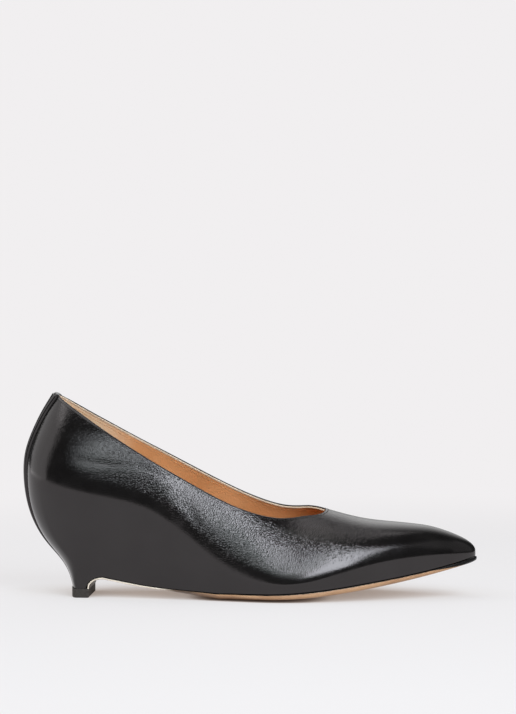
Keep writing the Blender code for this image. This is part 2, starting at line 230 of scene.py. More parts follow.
@dataclass(frozen=True)
class Lean:
    """A stretch of the topline where the leather leans in, or out where the amount is below 0."""

    amount: float
    depth: float
    grows: Span
    fades: Span

    def share(self, station: Array, below_top: Array) -> Array:
        """Share of the width that is lost towards the topline, as a square over the depth."""
        along = swell(station, self.grows, self.fades)
        return self.amount * along * np.clip(1.0 - below_top / self.depth, 0.0, 1.0) ** 2


@dataclass(frozen=True)
class Last:
    """Outside of the leather as a smooth surface over a share along the shoe and a height.

    The share is 0 at the back seam, 1 at the throat and 2 at the toe. On each side a section runs from the
    hem at the sole out to the widest line and in again, to the collar or, in front of the throat, the ridge.
    """

    shoe_length: float = 252.0
    collar_back_station: float = 17.4
    throat_station: float = 168.0
    toe_station: float = 251.0
    collar_back_height: float = 112.0
    gap: float = 0.3
    frame_origin: Span = (125.7, 0.3)
    foot_top: float = 5.0
    breast_station: float = 35.8
    breast_run: float = 9.4
    arch_height: float = 10.5
    arch_end: float = 110.0
    arch_power: float = 1.1
    spring_station: float = 136.0
    toe_spring: float = 20.2
    spring_power: float = 1.7
    flap_thickness: float = 0.8
    sole_thickness: float = 2.6
    toe_sole_thickness: float = 1.8
    sole_thickens: Span = (66.0, 118.0)
    sole_thins: Span = (176.0, 236.0)
    sole_camber: float = 1.4
    camber_grows: Span = (60.0, 118.0)
    camber_fades: Span = (186.0, 250.0)
    camber_left_at_toe: float = 0.3
    camber_flat_share: float = 0.5
    waist_bevel: float = 0.55
    bevel_grows: Span = (60.0, 95.0)
    bevel_fades: Span = (105.0, 165.0)
    heel_depth_foot: float = 3.5
    heel_depth_seat: float = 38.0
    heel_round_share: float = 0.5
    lean_run: float = 70.0
    toe_round: float = 14.0
    nose_height: float = 25.2
    nose_round: float = 30.0
    undercut_power: float = 1.5
    medial_instep_rise: float = 4.0
    instep_grows: Span = (30.0, 80.0)
    instep_fades: Span = (130.0, 168.0)
    throat_round: float = 10.0
    throat_gap: float = 0.1
    leans: tuple[Lean, ...] = (
        Lean(-0.06, 20.0, (32.0, 50.0), (76.0, 92.0)),
        Lean(-0.03, 10.0, (98.0, 116.0), (138.0, 156.0)),
    )
    derivative_step: float = 1e-4
    share_marks: int = 4001

    def to_frame(self, points: Array) -> Array:
        """Millimetres along the last to metres in the part's frame."""
        return (points - np.array([*self.frame_origin, 0.0])) * MM

    def station_at(self, share: Array) -> Array:
        """Station of a share, spaced as the cosine so that rows crowd at the back seam, throat and toe.

        Args:
            share: Share along the shoe, 0 to 2.

        Returns:
            The station of each share.
        """
        rear_length = self.throat_station - self.collar_back_station
        front_length = self.toe_station - self.throat_station
        rear = self.collar_back_station + rear_length * (1.0 - np.cos(np.pi * share)) / 2.0
        front = self.throat_station + front_length * (1.0 - np.cos(np.pi * (share - 1.0))) / 2.0
        return np.where(share < 1.0, rear, front)

    def thickness_of_sole(self, station: Array) -> Array:
        """Thickness of the sole, thin over breast and waist and thinner again at the toe.

        Args:
            station: Places along the shoe.

        Returns:
            The thickness at each station.
        """
        gain = self.sole_thickness - self.flap_thickness
        loss = self.sole_thickness - self.toe_sole_thickness
        waist = self.flap_thickness + gain * smoothstep(station, *self.sole_thickens)
        return waist - loss * smoothstep(station, *self.sole_thins)

    def camber(self, station: Array) -> Array:
        """How far the sole's edge stands above its middle."""
        fade = 1.0 - (1.0 - self.camber_left_at_toe) * smoothstep(station, *self.camber_fades)
        return self.sole_camber * smoothstep(station, *self.camber_grows) * fade

    def edge_bevel(self, station: Array) -> Array:
        """Share of the sole's thickness that is pared away under its edge along the waist."""
        return self.waist_bevel * swell(station, self.bevel_grows, self.bevel_fades)

    def camber_shape(self, across: Array) -> Array:
        """Share of the camber at a place across the sole, -1 to 1: level over the middle, then a square."""
        flat = self.camber_flat_share
        return (np.clip(np.abs(across) - flat, 0.0, None) / (1.0 - flat)) ** 2

    def sag(self, station: Array, across: Array) -> Array:
        """How far the sole lies under its edge at a place across it."""
        return self.camber(station) * (1.0 - self.camber_shape(across))

    def spanned(self, left: Array, right: Array, station: Array, across: Array) -> Array:
        """A sheet between two edges that sags as the sole does.

        Args:
            left: Points of the edge at -1 across.
            right: Points of the edge at 1 across.
            station: Place of each row along the shoe.
            across: Place of each column across the sheet.

        Returns:
            Grid of points.
        """
        sheet = left[:, None] + (right - left)[:, None] * (across[None, :, None] + 1.0) / 2.0
        sheet[..., 2] -= self.sag(station[:, None], across[None, :])
        return sheet

    def underside(self, station: Array) -> Array:
        """Height of the middle of the sole over the floor: arch, level tread and toe spring as powers.

        Args:
            station: Places along the shoe.

        Returns:
            The height at each station.
        """
        arch_run = self.arch_end - self.breast_station - self.breast_run
        behind = np.clip((self.arch_end - station) / arch_run, 0.0, 1.0)
        spring_run = self.shoe_length - self.spring_station
        forward = np.clip((station - self.spring_station) / spring_run, 0.0, 1.0)
        return self.arch_height * behind**self.arch_power + self.toe_spring * forward**self.spring_power

    def hem_height(self, station: Array) -> Array:
        """Lower edge of the leather: foot of the wedge, quarter ellipse up the breast, then along the sole.

        Args:
            station: Places along the shoe.

        Returns:
            The height at each station.
        """
        breast_end = self.breast_station + self.breast_run
        beyond = np.maximum(station, breast_end)
        along = self.underside(beyond) + self.camber(beyond) + self.thickness_of_sole(beyond) + self.gap
        rise = quarter_round(station - self.breast_station, self.breast_run)
        return np.where(station < breast_end, self.foot_top + (along - self.foot_top) * rise, along)

    def lean_fade(self, station: Array) -> Array:
        """Share of the back profile's lean that a section keeps."""
        return 1.0 - smoothstep(station, self.collar_back_station, self.collar_back_station + self.lean_run)

    def hem_station(self, station: Array) -> Array:
        """Where a section's hem lies along the shoe, since sections lean with the back of the heel."""
        return station + self.lean_fade(station) * (BACK.rows[0][1] - self.collar_back_station)

    def hem_at(self, share: Array) -> Array:
        """Height of the hem at a share along the shoe."""
        return self.hem_height(self.hem_station(self.station_at(share)))

    def shares(self, rear_rows: int, front_rows: int, end: float = 2.0) -> Array:
        """Shares of a sheet's rows as one column, even from back seam to throat and on to the end."""
        rear, front = np.linspace(0.0, 1.0, rear_rows + 1), np.linspace(1.0, end, front_rows + 1)
        return np.concatenate([rear, front[1:]])[:, None]

    def crown_height(self, station: Array, side: Side) -> Array:
        """Ridge of the last, brought down over the toe by a quarter ellipse, higher at the medial instep.

        Args:
            station: Places along the shoe.
            side: Side of the shoe.

        Returns:
            The height at each station.
        """
        ridge = SECTIONS.curve("ridge", station)
        nose = quarter_round(self.toe_station - station, self.nose_round)
        crown = self.nose_height + (ridge - self.nose_height) * nose
        rise = self.medial_instep_rise if side is Side.MEDIAL else 0.0
        return crown + rise * swell(station, self.instep_grows, self.instep_fades)

    def top_height(self, station: Array, side: Side) -> Array:
        """Upper edge of a section: the collar as far as the throat and the ridge in front of it.

        A quarter ellipse closes the collar at the throat, held under the ridge by a gap that narrows to 0.

        Args:
            station: Places along the shoe.
            side: Side of the shoe.

        Returns:
            The height at each station.
        """
        name, run = side.name.lower(), self.throat_round
        throat = COLLAR.curve(name, self.throat_station)
        line = COLLAR.curve(name, np.minimum(station, self.throat_station - run))
        before = self.throat_station - station
        collar = throat + (line - throat) * quarter_round(before, run)
        crown = self.crown_height(station, side)
        collar = np.minimum(collar, crown - self.throat_gap * np.clip(before, 0.0, run))
        return np.where(station < self.throat_station, collar, crown)

    def outside(self, share: Array, height: Array, side: Side) -> Array:
        """Outside of the leather: an arch w sqrt(1 - r^p) over the widest line, a power curve under it.

        Quarter ellipses round the half width at heel and toe, and the section leans with the back.

        Args:
            share: Shares along the shoe.
            height: Heights on the sections.
            side: Side of the shoe.

        Returns:
            Points with a last axis of station, place across and height.
        """
        station = self.station_at(share)
        name = side.name.lower()
        widest, hem_width = SECTIONS.curve(name, station), SECTIONS.curve("hem_" + name, station)
        equator, crown = SECTIONS.curve("equator", station), self.crown_height(station, side)
        hem, top = self.hem_height(self.hem_station(station)), self.top_height(station, side)
        rise = np.clip((height - equator) / (crown - equator), 0.0, 1.0)
        drop = np.clip((equator - height) / (equator - hem), 0.0, None)
        arched = widest * np.sqrt(1.0 - rise ** SECTIONS.curve("arch", station))
        arched = arched * (1.0 - sum(lean.share(station, top - height) for lean in self.leans))
        undercut = widest - (widest - hem_width) * drop**self.undercut_power
        level = np.clip((height - hem) / (top - hem), 0.0, 1.0)
        back_height = self.foot_top + level * (self.collar_back_height - self.foot_top)
        lean = BACK.curve("station", back_height) - self.collar_back_station
        deepens = smoothstep(level, 0.0, self.heel_round_share)
        heel_depth = self.heel_depth_foot + (self.heel_depth_seat - self.heel_depth_foot) * deepens
        rounded = quarter_round(station - self.collar_back_station, heel_depth)
        rounded = rounded * quarter_round(self.toe_station - station, self.toe_round)
        half_width = rounded * np.where(height > equator, arched, undercut)
        along = station + self.lean_fade(station) * lean
        across = SECTIONS.curve("middle", station) + side.value * half_width
        return np.stack(np.broadcast_arrays(along, across, height), axis=-1)

    def heights_up(self, share: Array, fraction: Array, low: Array, side: Side) -> Array:
        """Heights from low to the top edge, evenly spaced in the section's own angle.

        Over the widest line the angle is the arc sine of the rise; under it the rise itself carries on.

        Args:
            share: Shares along the shoe.
            fraction: 0 at the low height to 1 at the top edge.
            low: Lowest height at each share.
            side: Side of the shoe.

        Returns:
            The height at each share and fraction.
        """
        station = self.station_at(share)
        equator, crown = SECTIONS.curve("equator", station), self.crown_height(station, side)
        span = crown - equator
        top_angle = np.arcsin(np.clip((self.top_height(station, side) - equator) / span, 0.0, 1.0))
        low_rise = (low - equator) / span
        low_angle = np.where(low_rise < 0.0, low_rise, np.arcsin(np.clip(low_rise, 0.0, 1.0)))
        angle = low_angle + (top_angle - low_angle) * fraction
        return equator + span * np.where(angle < 0.0, angle, np.sin(np.maximum(angle, 0.0)))

    def normal(self, share: Array, height: Array, side: Side) -> Array:
        """Outward normals of the leather, from differences along the shoe and up the section.

        Args:
            share: Shares along the shoe.
            height: Heights on the sections.
            side: Side of the shoe.

        Returns:
            A vector of length 1 for each place.
        """
        share, height = np.broadcast_arrays(np.asarray(share, float), np.asarray(height, float))
        step = np.where(share < 1.0, self.derivative_step, -self.derivative_step)
        here = self.outside(share, height, side)
        along = (self.outside(share + step, height, side) - here) / step[..., None]
        above = self.outside(share, height + self.derivative_step, side)
        below = self.outside(share, height - self.derivative_step, side)
        normal = unit(-side.value * np.cross(along, above - below))
        normal[..., 1] = np.where(share <= 0.0, 0.0, normal[..., 1])
        return unit(normal)

    def inside(self, share: Array, height: Array, side: Side, inset: float) -> Array:
        """Points at the same height on the surface that lies inset from the leather's outside.

        Args:
            share: Shares along the shoe.
            height: Heights on the sections.
            side: Side of the shoe.
            inset: Distance inwards.

        Returns:
            The moved points.
        """
        flat = self.normal(share, height, side)[..., :2]
        point = self.outside(share, height, side).copy()
        point[..., :2] -= inset * flat / np.sum(flat**2, axis=-1, keepdims=True)
        point[..., 1] = np.where(np.asarray(share) <= 0.0, 0.0, point[..., 1])
        return point

    def share_of_hem(self, station: float) -> float:
        """Share whose hem lies at this station, read backwards from a fine scale of shares."""
        shares = np.linspace(0.0, 2.0, self.share_marks)
        return float(np.interp(station, self.hem_station(self.station_at(shares)), shares))


@dataclass(frozen=True)
class Crease:
    """A soft crease of the leather on one side, a trough with raised lips between two places.

    Places are a station and a height. A depth below 0 makes a ridge.
    """

    start: Span
    end: Span
    width: float
    depth: float

    def relief(self, station: Array, height: Array) -> Array:
        """Movement outwards: depth times (q^2 - 1) exp(-q^2 / 2), with q the distance over the width.

        Args:
            station: Stations of the surface's points.
            height: Heights of the surface's points.

        Returns:
            The movement of each point, fading as a sine towards both ends of the crease.
        """
        run = np.subtract(self.end, self.start)
        place = np.stack([station - self.start[0], height - self.start[1]], axis=-1)
        share = np.clip(place @ run / np.dot(run, run), 0.0, 1.0)
        q = np.linalg.norm(place - share[..., None] * run, axis=-1) / self.width
        return self.depth * np.sin(np.pi * share) * (q**2 - 1.0) * np.exp(-(q**2) / 2.0)


@dataclass(frozen=True)
class CollarLine:
    """Closed line round the opening, evenly spaced, with three directions at every point.

    The line runs from the throat back along the lateral side and forward along the medial side. Outward is
    the leather's normal, and upward lies in the leather and points over its edge into the opening.
    """

    points: Array
    forward: Array
    outward: Array
    upward: Array
    length: float

    @classmethod
    def round_opening(
        cls,
        last: Last,
        count: int = 900,
        dense: int = 1600,
        throat_share: float = 0.9993,
        below_edge: float = 0.05,
        smoothing: int = 4,
    ) -> "CollarLine":
        """Collar of the last, spaced evenly by length.

        Args:
            last: The shoe's surface.
            count: Number of points round the opening.
            dense: Number of trial points on each side.
            throat_share: Last share before the two sides meet at the throat.
            below_edge: Distance under the edge at which the normals are read.
            smoothing: Number of neighbours on each side that directions are averaged over.

        Returns:
            The line.
        """
        shares = np.linspace(0.0, throat_share, dense)
        trial, normals = [], []
        for side, order in ((Side.LATERAL, shares[::-1]), (Side.MEDIAL, shares[1:])):
            height = last.top_height(last.station_at(order), side)
            trial.append(last.outside(order, height, side))
            normals.append(last.normal(order, height - below_edge, side))
        points, outward = np.concatenate(trial), np.concatenate(normals)
        points, outward = np.concatenate([points, points[:1]]), np.concatenate([outward, outward[:1]])
        run = np.concatenate([[0.0], np.cumsum(np.linalg.norm(np.diff(points, axis=0), axis=1))])
        at = np.arange(count) * run[-1] / count
        points = np.stack([np.interp(at, run, points[:, k]) for k in range(3)], axis=-1)
        outward = np.stack([np.interp(at, run, outward[:, k]) for k in range(3)], axis=-1)
        window = range(-smoothing, smoothing + 1)
        outward = sum(np.roll(outward, k, axis=0) for k in window)
        forward = unit(sum(np.roll(np.roll(points, -1, axis=0) - points, k, axis=0) for k in window))
        outward = unit(outward - np.sum(outward * forward, axis=-1, keepdims=True) * forward)
        return cls(points, forward, outward, np.cross(forward, outward), float(run[-1]))

    def carried(self, profile: Array, raised: Array | float = 0.0) -> Array:
        """A closed profile of (outward, upward) places carried along the whole line.

        Args:
            profile: Places of the profile.
            raised: How much farther upward it lies at each point of the line.

        Returns:
            Grid of points, a ring of the profile at each point of the line.
        """
        out = profile[None, :, 0, None]
        up = profile[None, :, 1, None] + np.reshape(raised, (-1, 1, 1))
        return self.points[:, None] + out * self.outward[:, None] + up * self.upward[:, None]


@dataclass(frozen=True)
class Patch:
    """A grid of points of a surface that may close on itself along its rows or columns."""

    points: Array
    ring_rows: bool = False
    ring_columns: bool = False
    flipped: bool = False

    def quads(self, first: int) -> Array:
        """Corners of the grid's faces.

        Args:
            first: Number of the grid's first point in its mesh.

        Returns:
            Four point numbers for each face.
        """
        rows, columns = self.points.shape[:2]
        row = np.arange(rows if self.ring_rows else rows - 1)[:, None]
        column = np.arange(columns if self.ring_columns else columns - 1)[None, :]
        after_row, after_column = (row + 1) % rows, (column + 1) % columns
        corners = np.broadcast_arrays(
            row * columns + column,
            after_row * columns + column,
            after_row * columns + after_column,
            row * columns + after_column,
        )
        faces = np.stack(corners, axis=-1).reshape(-1, 4)
        return first + (faces[:, ::-1] if self.flipped else faces)


def add_object(name: str, data: bpy.types.ID) -> Piece:
    """A new object at the origin, in the scene.

    Args:
        name: Name of the object.
        data: Its mesh, light or camera.

    Returns:
        The object.
    """
    thing = bpy.data.objects.new(name, data)
    bpy.context.scene.collection.objects.link(thing)
    return thing


def make_piece(
    name: str,
    patches: list[Patch],
    last: Last,
    material: Finish,
    closed: bool = True,
    attribute: tuple[str, Array] | None = None,
) -> Piece:
    """One welded, smooth mesh object from grids of points, riding on the shoe's body.

    Args:
        name: Name of the piece.
        patches: The grids.
        last: The surface that knows the frame.
        material: Finish of the piece.
        closed: Whether open ends are filled and all faces turned outwards.
        attribute: Name and value at each point of a number that the finish reads.

    Returns:
        The object.
    """
    counts = [patch.points.shape[0] * patch.points.shape[1] for patch in patches]
    firsts = np.concatenate([[0], np.cumsum(counts)[:-1]])
    points = np.concatenate([patch.points.reshape(-1, 3) for patch in patches])
    quads = np.concatenate([patch.quads(int(first)) for patch, first in zip(patches, firsts)])
    mesh = bpy.data.meshes.new(name)
    mesh.from_pydata(last.to_frame(points).tolist(), [], quads.tolist())
    if attribute:
        layer = mesh.attributes.new(attribute[0], "FLOAT", "POINT")
        layer.data.foreach_set("value", np.asarray(attribute[1], np.float32).ravel())
    work = bmesh.new()
    work.from_mesh(mesh)
    bmesh.ops.remove_doubles(work, verts=work.verts, dist=WELD_DISTANCE_M)
    bmesh.ops.dissolve_degenerate(work, edges=work.edges, dist=WELD_DISTANCE_M)
    if closed:
        bmesh.ops.holes_fill(work, edges=work.edges, sides=0)
        bmesh.ops.recalc_face_normals(work, faces=work.faces)
    work.to_mesh(mesh)
    work.free()
    mesh.shade_smooth()
    mesh.set_sharp_from_angle(angle=SHARP_ANGLE)
    mesh.materials.append(material)
    piece = add_object(name, mesh)
    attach(piece, "root")
    return piece


def thicken(piece: Piece, thickness: float) -> None:
    """Give a sheet its thickness inwards.

    Args:
        piece: The sheet.
        thickness: Thickness in millimetres.
    """
    wall = piece.modifiers.new("thickness", "SOLIDIFY")
    wall.thickness = thickness * MM
    wall.offset = -1.0


def rounded_box(centre: Span, half: Span, count: int, power: float) -> Array:
    """Closed profile |a / half_a|^power + |b / half_b|^power = 1, a box with rounded corners.

    Args:
        centre: Middle of the box.
        half: Half its width and height.
        count: Number of points.
        power: 2 for an ellipse, more for squarer corners.

    Returns:
        Points of the profile.
    """
    angle = np.linspace(0.0, 2.0 * np.pi, count, endpoint=False)
    wave = np.stack([np.cos(angle), np.sin(angle)], axis=-1)
    return np.array(centre) + np.array(half) * np.sign(wave) * np.abs(wave) ** (2.0 / power)


def add_node(tree: bpy.types.NodeTree, kind: str, inputs: dict, **settings: str) -> bpy.types.Node:
    """A new shader node.

    Args:
        tree: Tree that it joins.
        kind: Its type without the leading ShaderNode.
        inputs: What each input, by name or number, is joined to or set to; None leaves it as it is.
        settings: Properties, set before the inputs because they can change which inputs there are.

    Returns:
        The node.
    """
    node = tree.nodes.new("ShaderNode" + kind)
    for name, value in settings.items():
        setattr(node, name, value)
    for name, value in inputs.items():
        if isinstance(value, Socket):
            tree.links.new(value, node.inputs[name])
        elif value is not None:
            node.inputs[name].default_value = value
    return node


class FinishNodes:
    """Node tree of one finish: its Principled shader and small groups of nodes that feed it.

    Sizes are in millimetres. A noise is given by the size of its patches and its number of layers.
    """

    def __init__(self, name: str) -> None:
        """Start a finish.

        Args:
            name: Name of the material.
        """
        self.material = bpy.data.materials.new(name)
        self.material.use_nodes = True
        self.tree = self.material.node_tree
        self.shader = self.tree.nodes["Principled BSDF"]
        self.place = self.add("TexCoord", {}).outputs["Object"]

    def add(self, kind: str, inputs: dict, **settings: str) -> bpy.types.Node:
        """A new node of this finish, with what add_node takes."""
        return add_node(self.tree, kind, inputs, **settings)

    def set(self, **values: float | Colour) -> None:
        """Set shader sockets that are the same all over the surface.

        Args:
            values: Socket names, with _ for a space, and their values.
        """
        for name, value in values.items():
            socket = self.shader.inputs[name.replace("_", " ")]
            socket.default_value = (*value, 1.0) if isinstance(value, tuple) else value

    def feed(self, source: Socket, name: str) -> None:
        """Join a node's output to one of the shader's sockets."""
        self.tree.links.new(source, self.shader.inputs[name])

    def axis(self, name: str) -> Socket:
        """One of the object coordinates, in metres."""
        return self.add("SeparateXYZ", {0: self.place}).outputs[name]

    def attribute(self, name: str) -> Socket:
        """A number kept at each point of the mesh."""
        return self.add("Attribute", {}, attribute_name=name).outputs["Fac"]

    def noise(self, size: float, detail: float = 2.0, place: Socket | None = None) -> Socket:
        """Smooth noise, about 0 to 1, over a place or else the object coordinates."""
        inputs = {"Scale": 1.0 / (size * MM), "Detail": detail, "Vector": place or self.place}
        return self.add("TexNoise", inputs).outputs[0]

    def cells(self, size: float, place: Socket) -> Socket:
        """Distance to the edge of irregular cells as a share of their size, for wrinkles and pores."""
        inputs = {"Scale": 1.0 / (size * MM), "Vector": place}
        return self.add("TexVoronoi", inputs, feature="DISTANCE_TO_EDGE").outputs["Distance"]

    def closeness(self, reach_m: float, facing: Socket) -> Socket:
        """How open the half space about a direction is, within a reach in metres: 0 under a thing to 1."""
        return self.add("AmbientOcclusion", {"Distance": reach_m, "Normal": facing}).outputs["AO"]

    def warped(self, size: float, reach: float) -> Socket:
        """Object coordinates pushed about by noise, so that cells become wrinkles.

        Args:
            size: Size of the pushes' patches.
            reach: Length of the pushes.

        Returns:
            The moved coordinates.
        """
        push = self.add("TexNoise", {"Scale": 1.0 / (size * MM), "Vector": self.place}).outputs["Color"]
        inputs = {0: push, 1: (reach * MM,) * 3, 2: self.place}
        return self.add("VectorMath", inputs, operation="MULTIPLY_ADD").outputs["Vector"]

    def stretched(self, place: Socket, tilt: float, growth: Triple) -> Socket:
        """A place turned about Y by degrees and made longer along X, Y and Z by these factors."""
        inputs = {"Rotation": (0.0, np.radians(tilt), 0.0), "Scale": growth, "Vector": place}
        return self.add("Mapping", inputs, vector_type="TEXTURE").outputs["Vector"]

    def ramp(self, source: Socket, stops: Stops) -> Socket:
        """Colours along a value.

        Args:
            source: The value.
            stops: Places on the value and the colour at each.

        Returns:
            The colour.
        """
        node = self.add("ValToRGB", {"Fac": source})
        elements = node.color_ramp.elements
        while len(elements) < len(stops):
            elements.new(0.5)
        for element, (at, colour) in zip(elements, stops):
            element.position = at
            element.color = (*colour, 1.0)
        return node.outputs["Color"]

    def tone(self, source: Socket, pair: Pair, span: Span = MIDDLE) -> Socket:
        """Colours from one at the start of a value's span to another at its end."""
        return self.ramp(source, tuple(zip(span, pair)))

    def spread(self, source: Socket, low: float, high: float, span: Span = MIDDLE) -> Socket:
        """A span of a value carried to the range from low to high, held at its ends."""
        inputs = {"Value": source, "From Min": span[0], "From Max": span[1], "To Min": low, "To Max": high}
        return self.add("MapRange", inputs).outputs["Result"]

    def combine(self, operation: str, first: Socket, second: Socket) -> Socket:
        """Two values put together by one step of arithmetic."""
        return self.add("Math", {0: first, 1: second}, operation=operation).outputs["Value"]

    def clouds(self, broad: Span, fine: Span, share: float) -> Socket:
        """A broad and a fine noise added.

        Args:
            broad: Size of patches and number of layers of the broad noise.
            fine: Size of patches and number of layers of the fine noise.
            share: The broad one's share of the sum.

        Returns:
            The sum, from 0 to 1.
        """
        first = self.spread(self.noise(*broad), 0.0, share)
        second = self.spread(self.noise(*fine), 0.0, 1.0 - share)
        return self.combine("ADD", first, second)

    def blend(self, share: Socket, first: Socket, second: Socket) -> Socket:
        """Mix of two colours, all of the second where the share is 1; 6, 7 and 2 are the node's colours."""
        return self.add("Mix", {"Factor": share, 6: first, 7: second}, data_type="RGBA").outputs[2]

    def emboss(self, heights: tuple[tuple[Socket, float], ...], strength: Socket | None = None) -> None:
        """Raise the surface by heights, each a value and the millimetres from its 0 to its 1.

        Args:
            heights: Values and reliefs, coarsest first.
            strength: Share of the relief at each place, all of it by default.
        """
        normal = None
        for source, relief in heights:
            inputs = {"Distance": relief * MM, "Height": source, "Strength": strength, "Normal": normal}
            normal = self.add("Bump", inputs).outputs["Normal"]
        self.feed(normal, "Normal")


@dataclass(frozen=True)
class BlackLeather:
    """Polished black leather with a fine wrinkled grain that shows where it shines."""

    name: str = "black_leather"
    tones: Pair = ((0.0030, 0.0027, 0.0027), (0.0062, 0.0056, 0.0055))
    tone_noise: Span = (16.0, 4.0)
    gloss: Span = (0.10, 0.15)
    gloss_noise: Span = (5.0, 3.0)
    tint: Colour = (1.0, 0.93, 0.935)
    refraction: float = 1.58
    warp: Span = (2.4, 1.5)
    wrinkle_size: float = 1.0
    wrinkle_span: Span = (0.0, 0.45)
    wrinkle_growth: Triple = (1.0, 1.3, 1.3)
    wrinkle_tilt: float = 35.0
    wrinkle_relief: float = 0.075
    pore_noise: Span = (0.4, 2.0)
    pore_relief: float = 0.01
    wave_noise: Span = (9.0, 1.0)
    wave_relief: float = 0.05
    toe_grain: float = 0.3
    toe_m: Span = (0.052, 0.085)
    heel_grain: float = 0.35
    heel_m: Span = (-0.11, -0.055)

    def material(self) -> Finish:
        """Warped cells make the wrinkles, fine noise the pores and broad noise the unevenness of the hide.

        Returns:
            The material, whose relief fades towards toe and heel and with the mesh's own share of grain.
        """
        nodes = FinishNodes(self.name)
        place = nodes.stretched(nodes.warped(*self.warp), self.wrinkle_tilt, self.wrinkle_growth)
        wrinkles = nodes.spread(nodes.cells(self.wrinkle_size, place), 0.0, 1.0, self.wrinkle_span)
        pores, waves = nodes.noise(*self.pore_noise, place), nodes.noise(*self.wave_noise)
        nodes.feed(nodes.tone(nodes.noise(*self.tone_noise), self.tones), "Base Color")
        nodes.feed(nodes.spread(nodes.noise(*self.gloss_noise), *self.gloss), "Roughness")
        nodes.set(IOR=self.refraction, Specular_Tint=self.tint)
        along = nodes.axis("X")
        toe = nodes.spread(along, 1.0, self.toe_grain, self.toe_m)
        heel = nodes.spread(along, self.heel_grain, 1.0, self.heel_m)
        strength = nodes.combine("MULTIPLY", nodes.combine("MULTIPLY", toe, heel), nodes.attribute("grain"))
        reliefs = (waves, self.wave_relief), (wrinkles, self.wrinkle_relief), (pores, self.pore_relief)
        nodes.emboss(reliefs, strength)
        return nodes.material


@dataclass(frozen=True)
class TanLeather:
    """Smooth tan lining leather, a little cloudy, with fine pores; it may be paler at the heel."""

    name: str
    tones: Pair
    roughness: float = 0.5
    paler: Pair | None = None
    paler_m: Span = (-0.088, -0.066)
    clouds: tuple[Span, Span, float] = ((24.0, 3.0), (0.8, 2.0), 0.7)
    roughens: Span = (-0.06, 0.08)
    rough_size: float = 6.0
    pore_warp: Span = (3.0, 1.0)
    pore_size: float = 0.6
    pore_span: Span = (0.0, 0.3)
    pore_relief: float = 0.02
    wave_size: float = 14.0
    wave_relief: float = 0.12

    def material(self) -> Finish:
        """Cloudy colour from two noises, passing into a paler one at the heel, and pores as shallow cells.

        Returns:
            The material.
        """
        nodes = FinishNodes(self.name)
        clouds = nodes.clouds(*self.clouds)
        colour = nodes.tone(clouds, self.tones, CLOUDY)
        if self.paler:
            heel = nodes.spread(nodes.axis("X"), 1.0, 0.0, self.paler_m)
            colour = nodes.blend(heel, colour, nodes.tone(clouds, self.paler, CLOUDY))
        nodes.feed(colour, "Base Color")
        low, high = (self.roughness + change for change in self.roughens)
        nodes.feed(nodes.spread(nodes.noise(self.rough_size), low, high), "Roughness")
        cells = nodes.cells(self.pore_size, nodes.warped(*self.pore_warp))
        pores = nodes.spread(cells, 0.0, 1.0, self.pore_span)
        nodes.emboss(((nodes.noise(self.wave_size), self.wave_relief), (pores, self.pore_relief)))
        return nodes.material


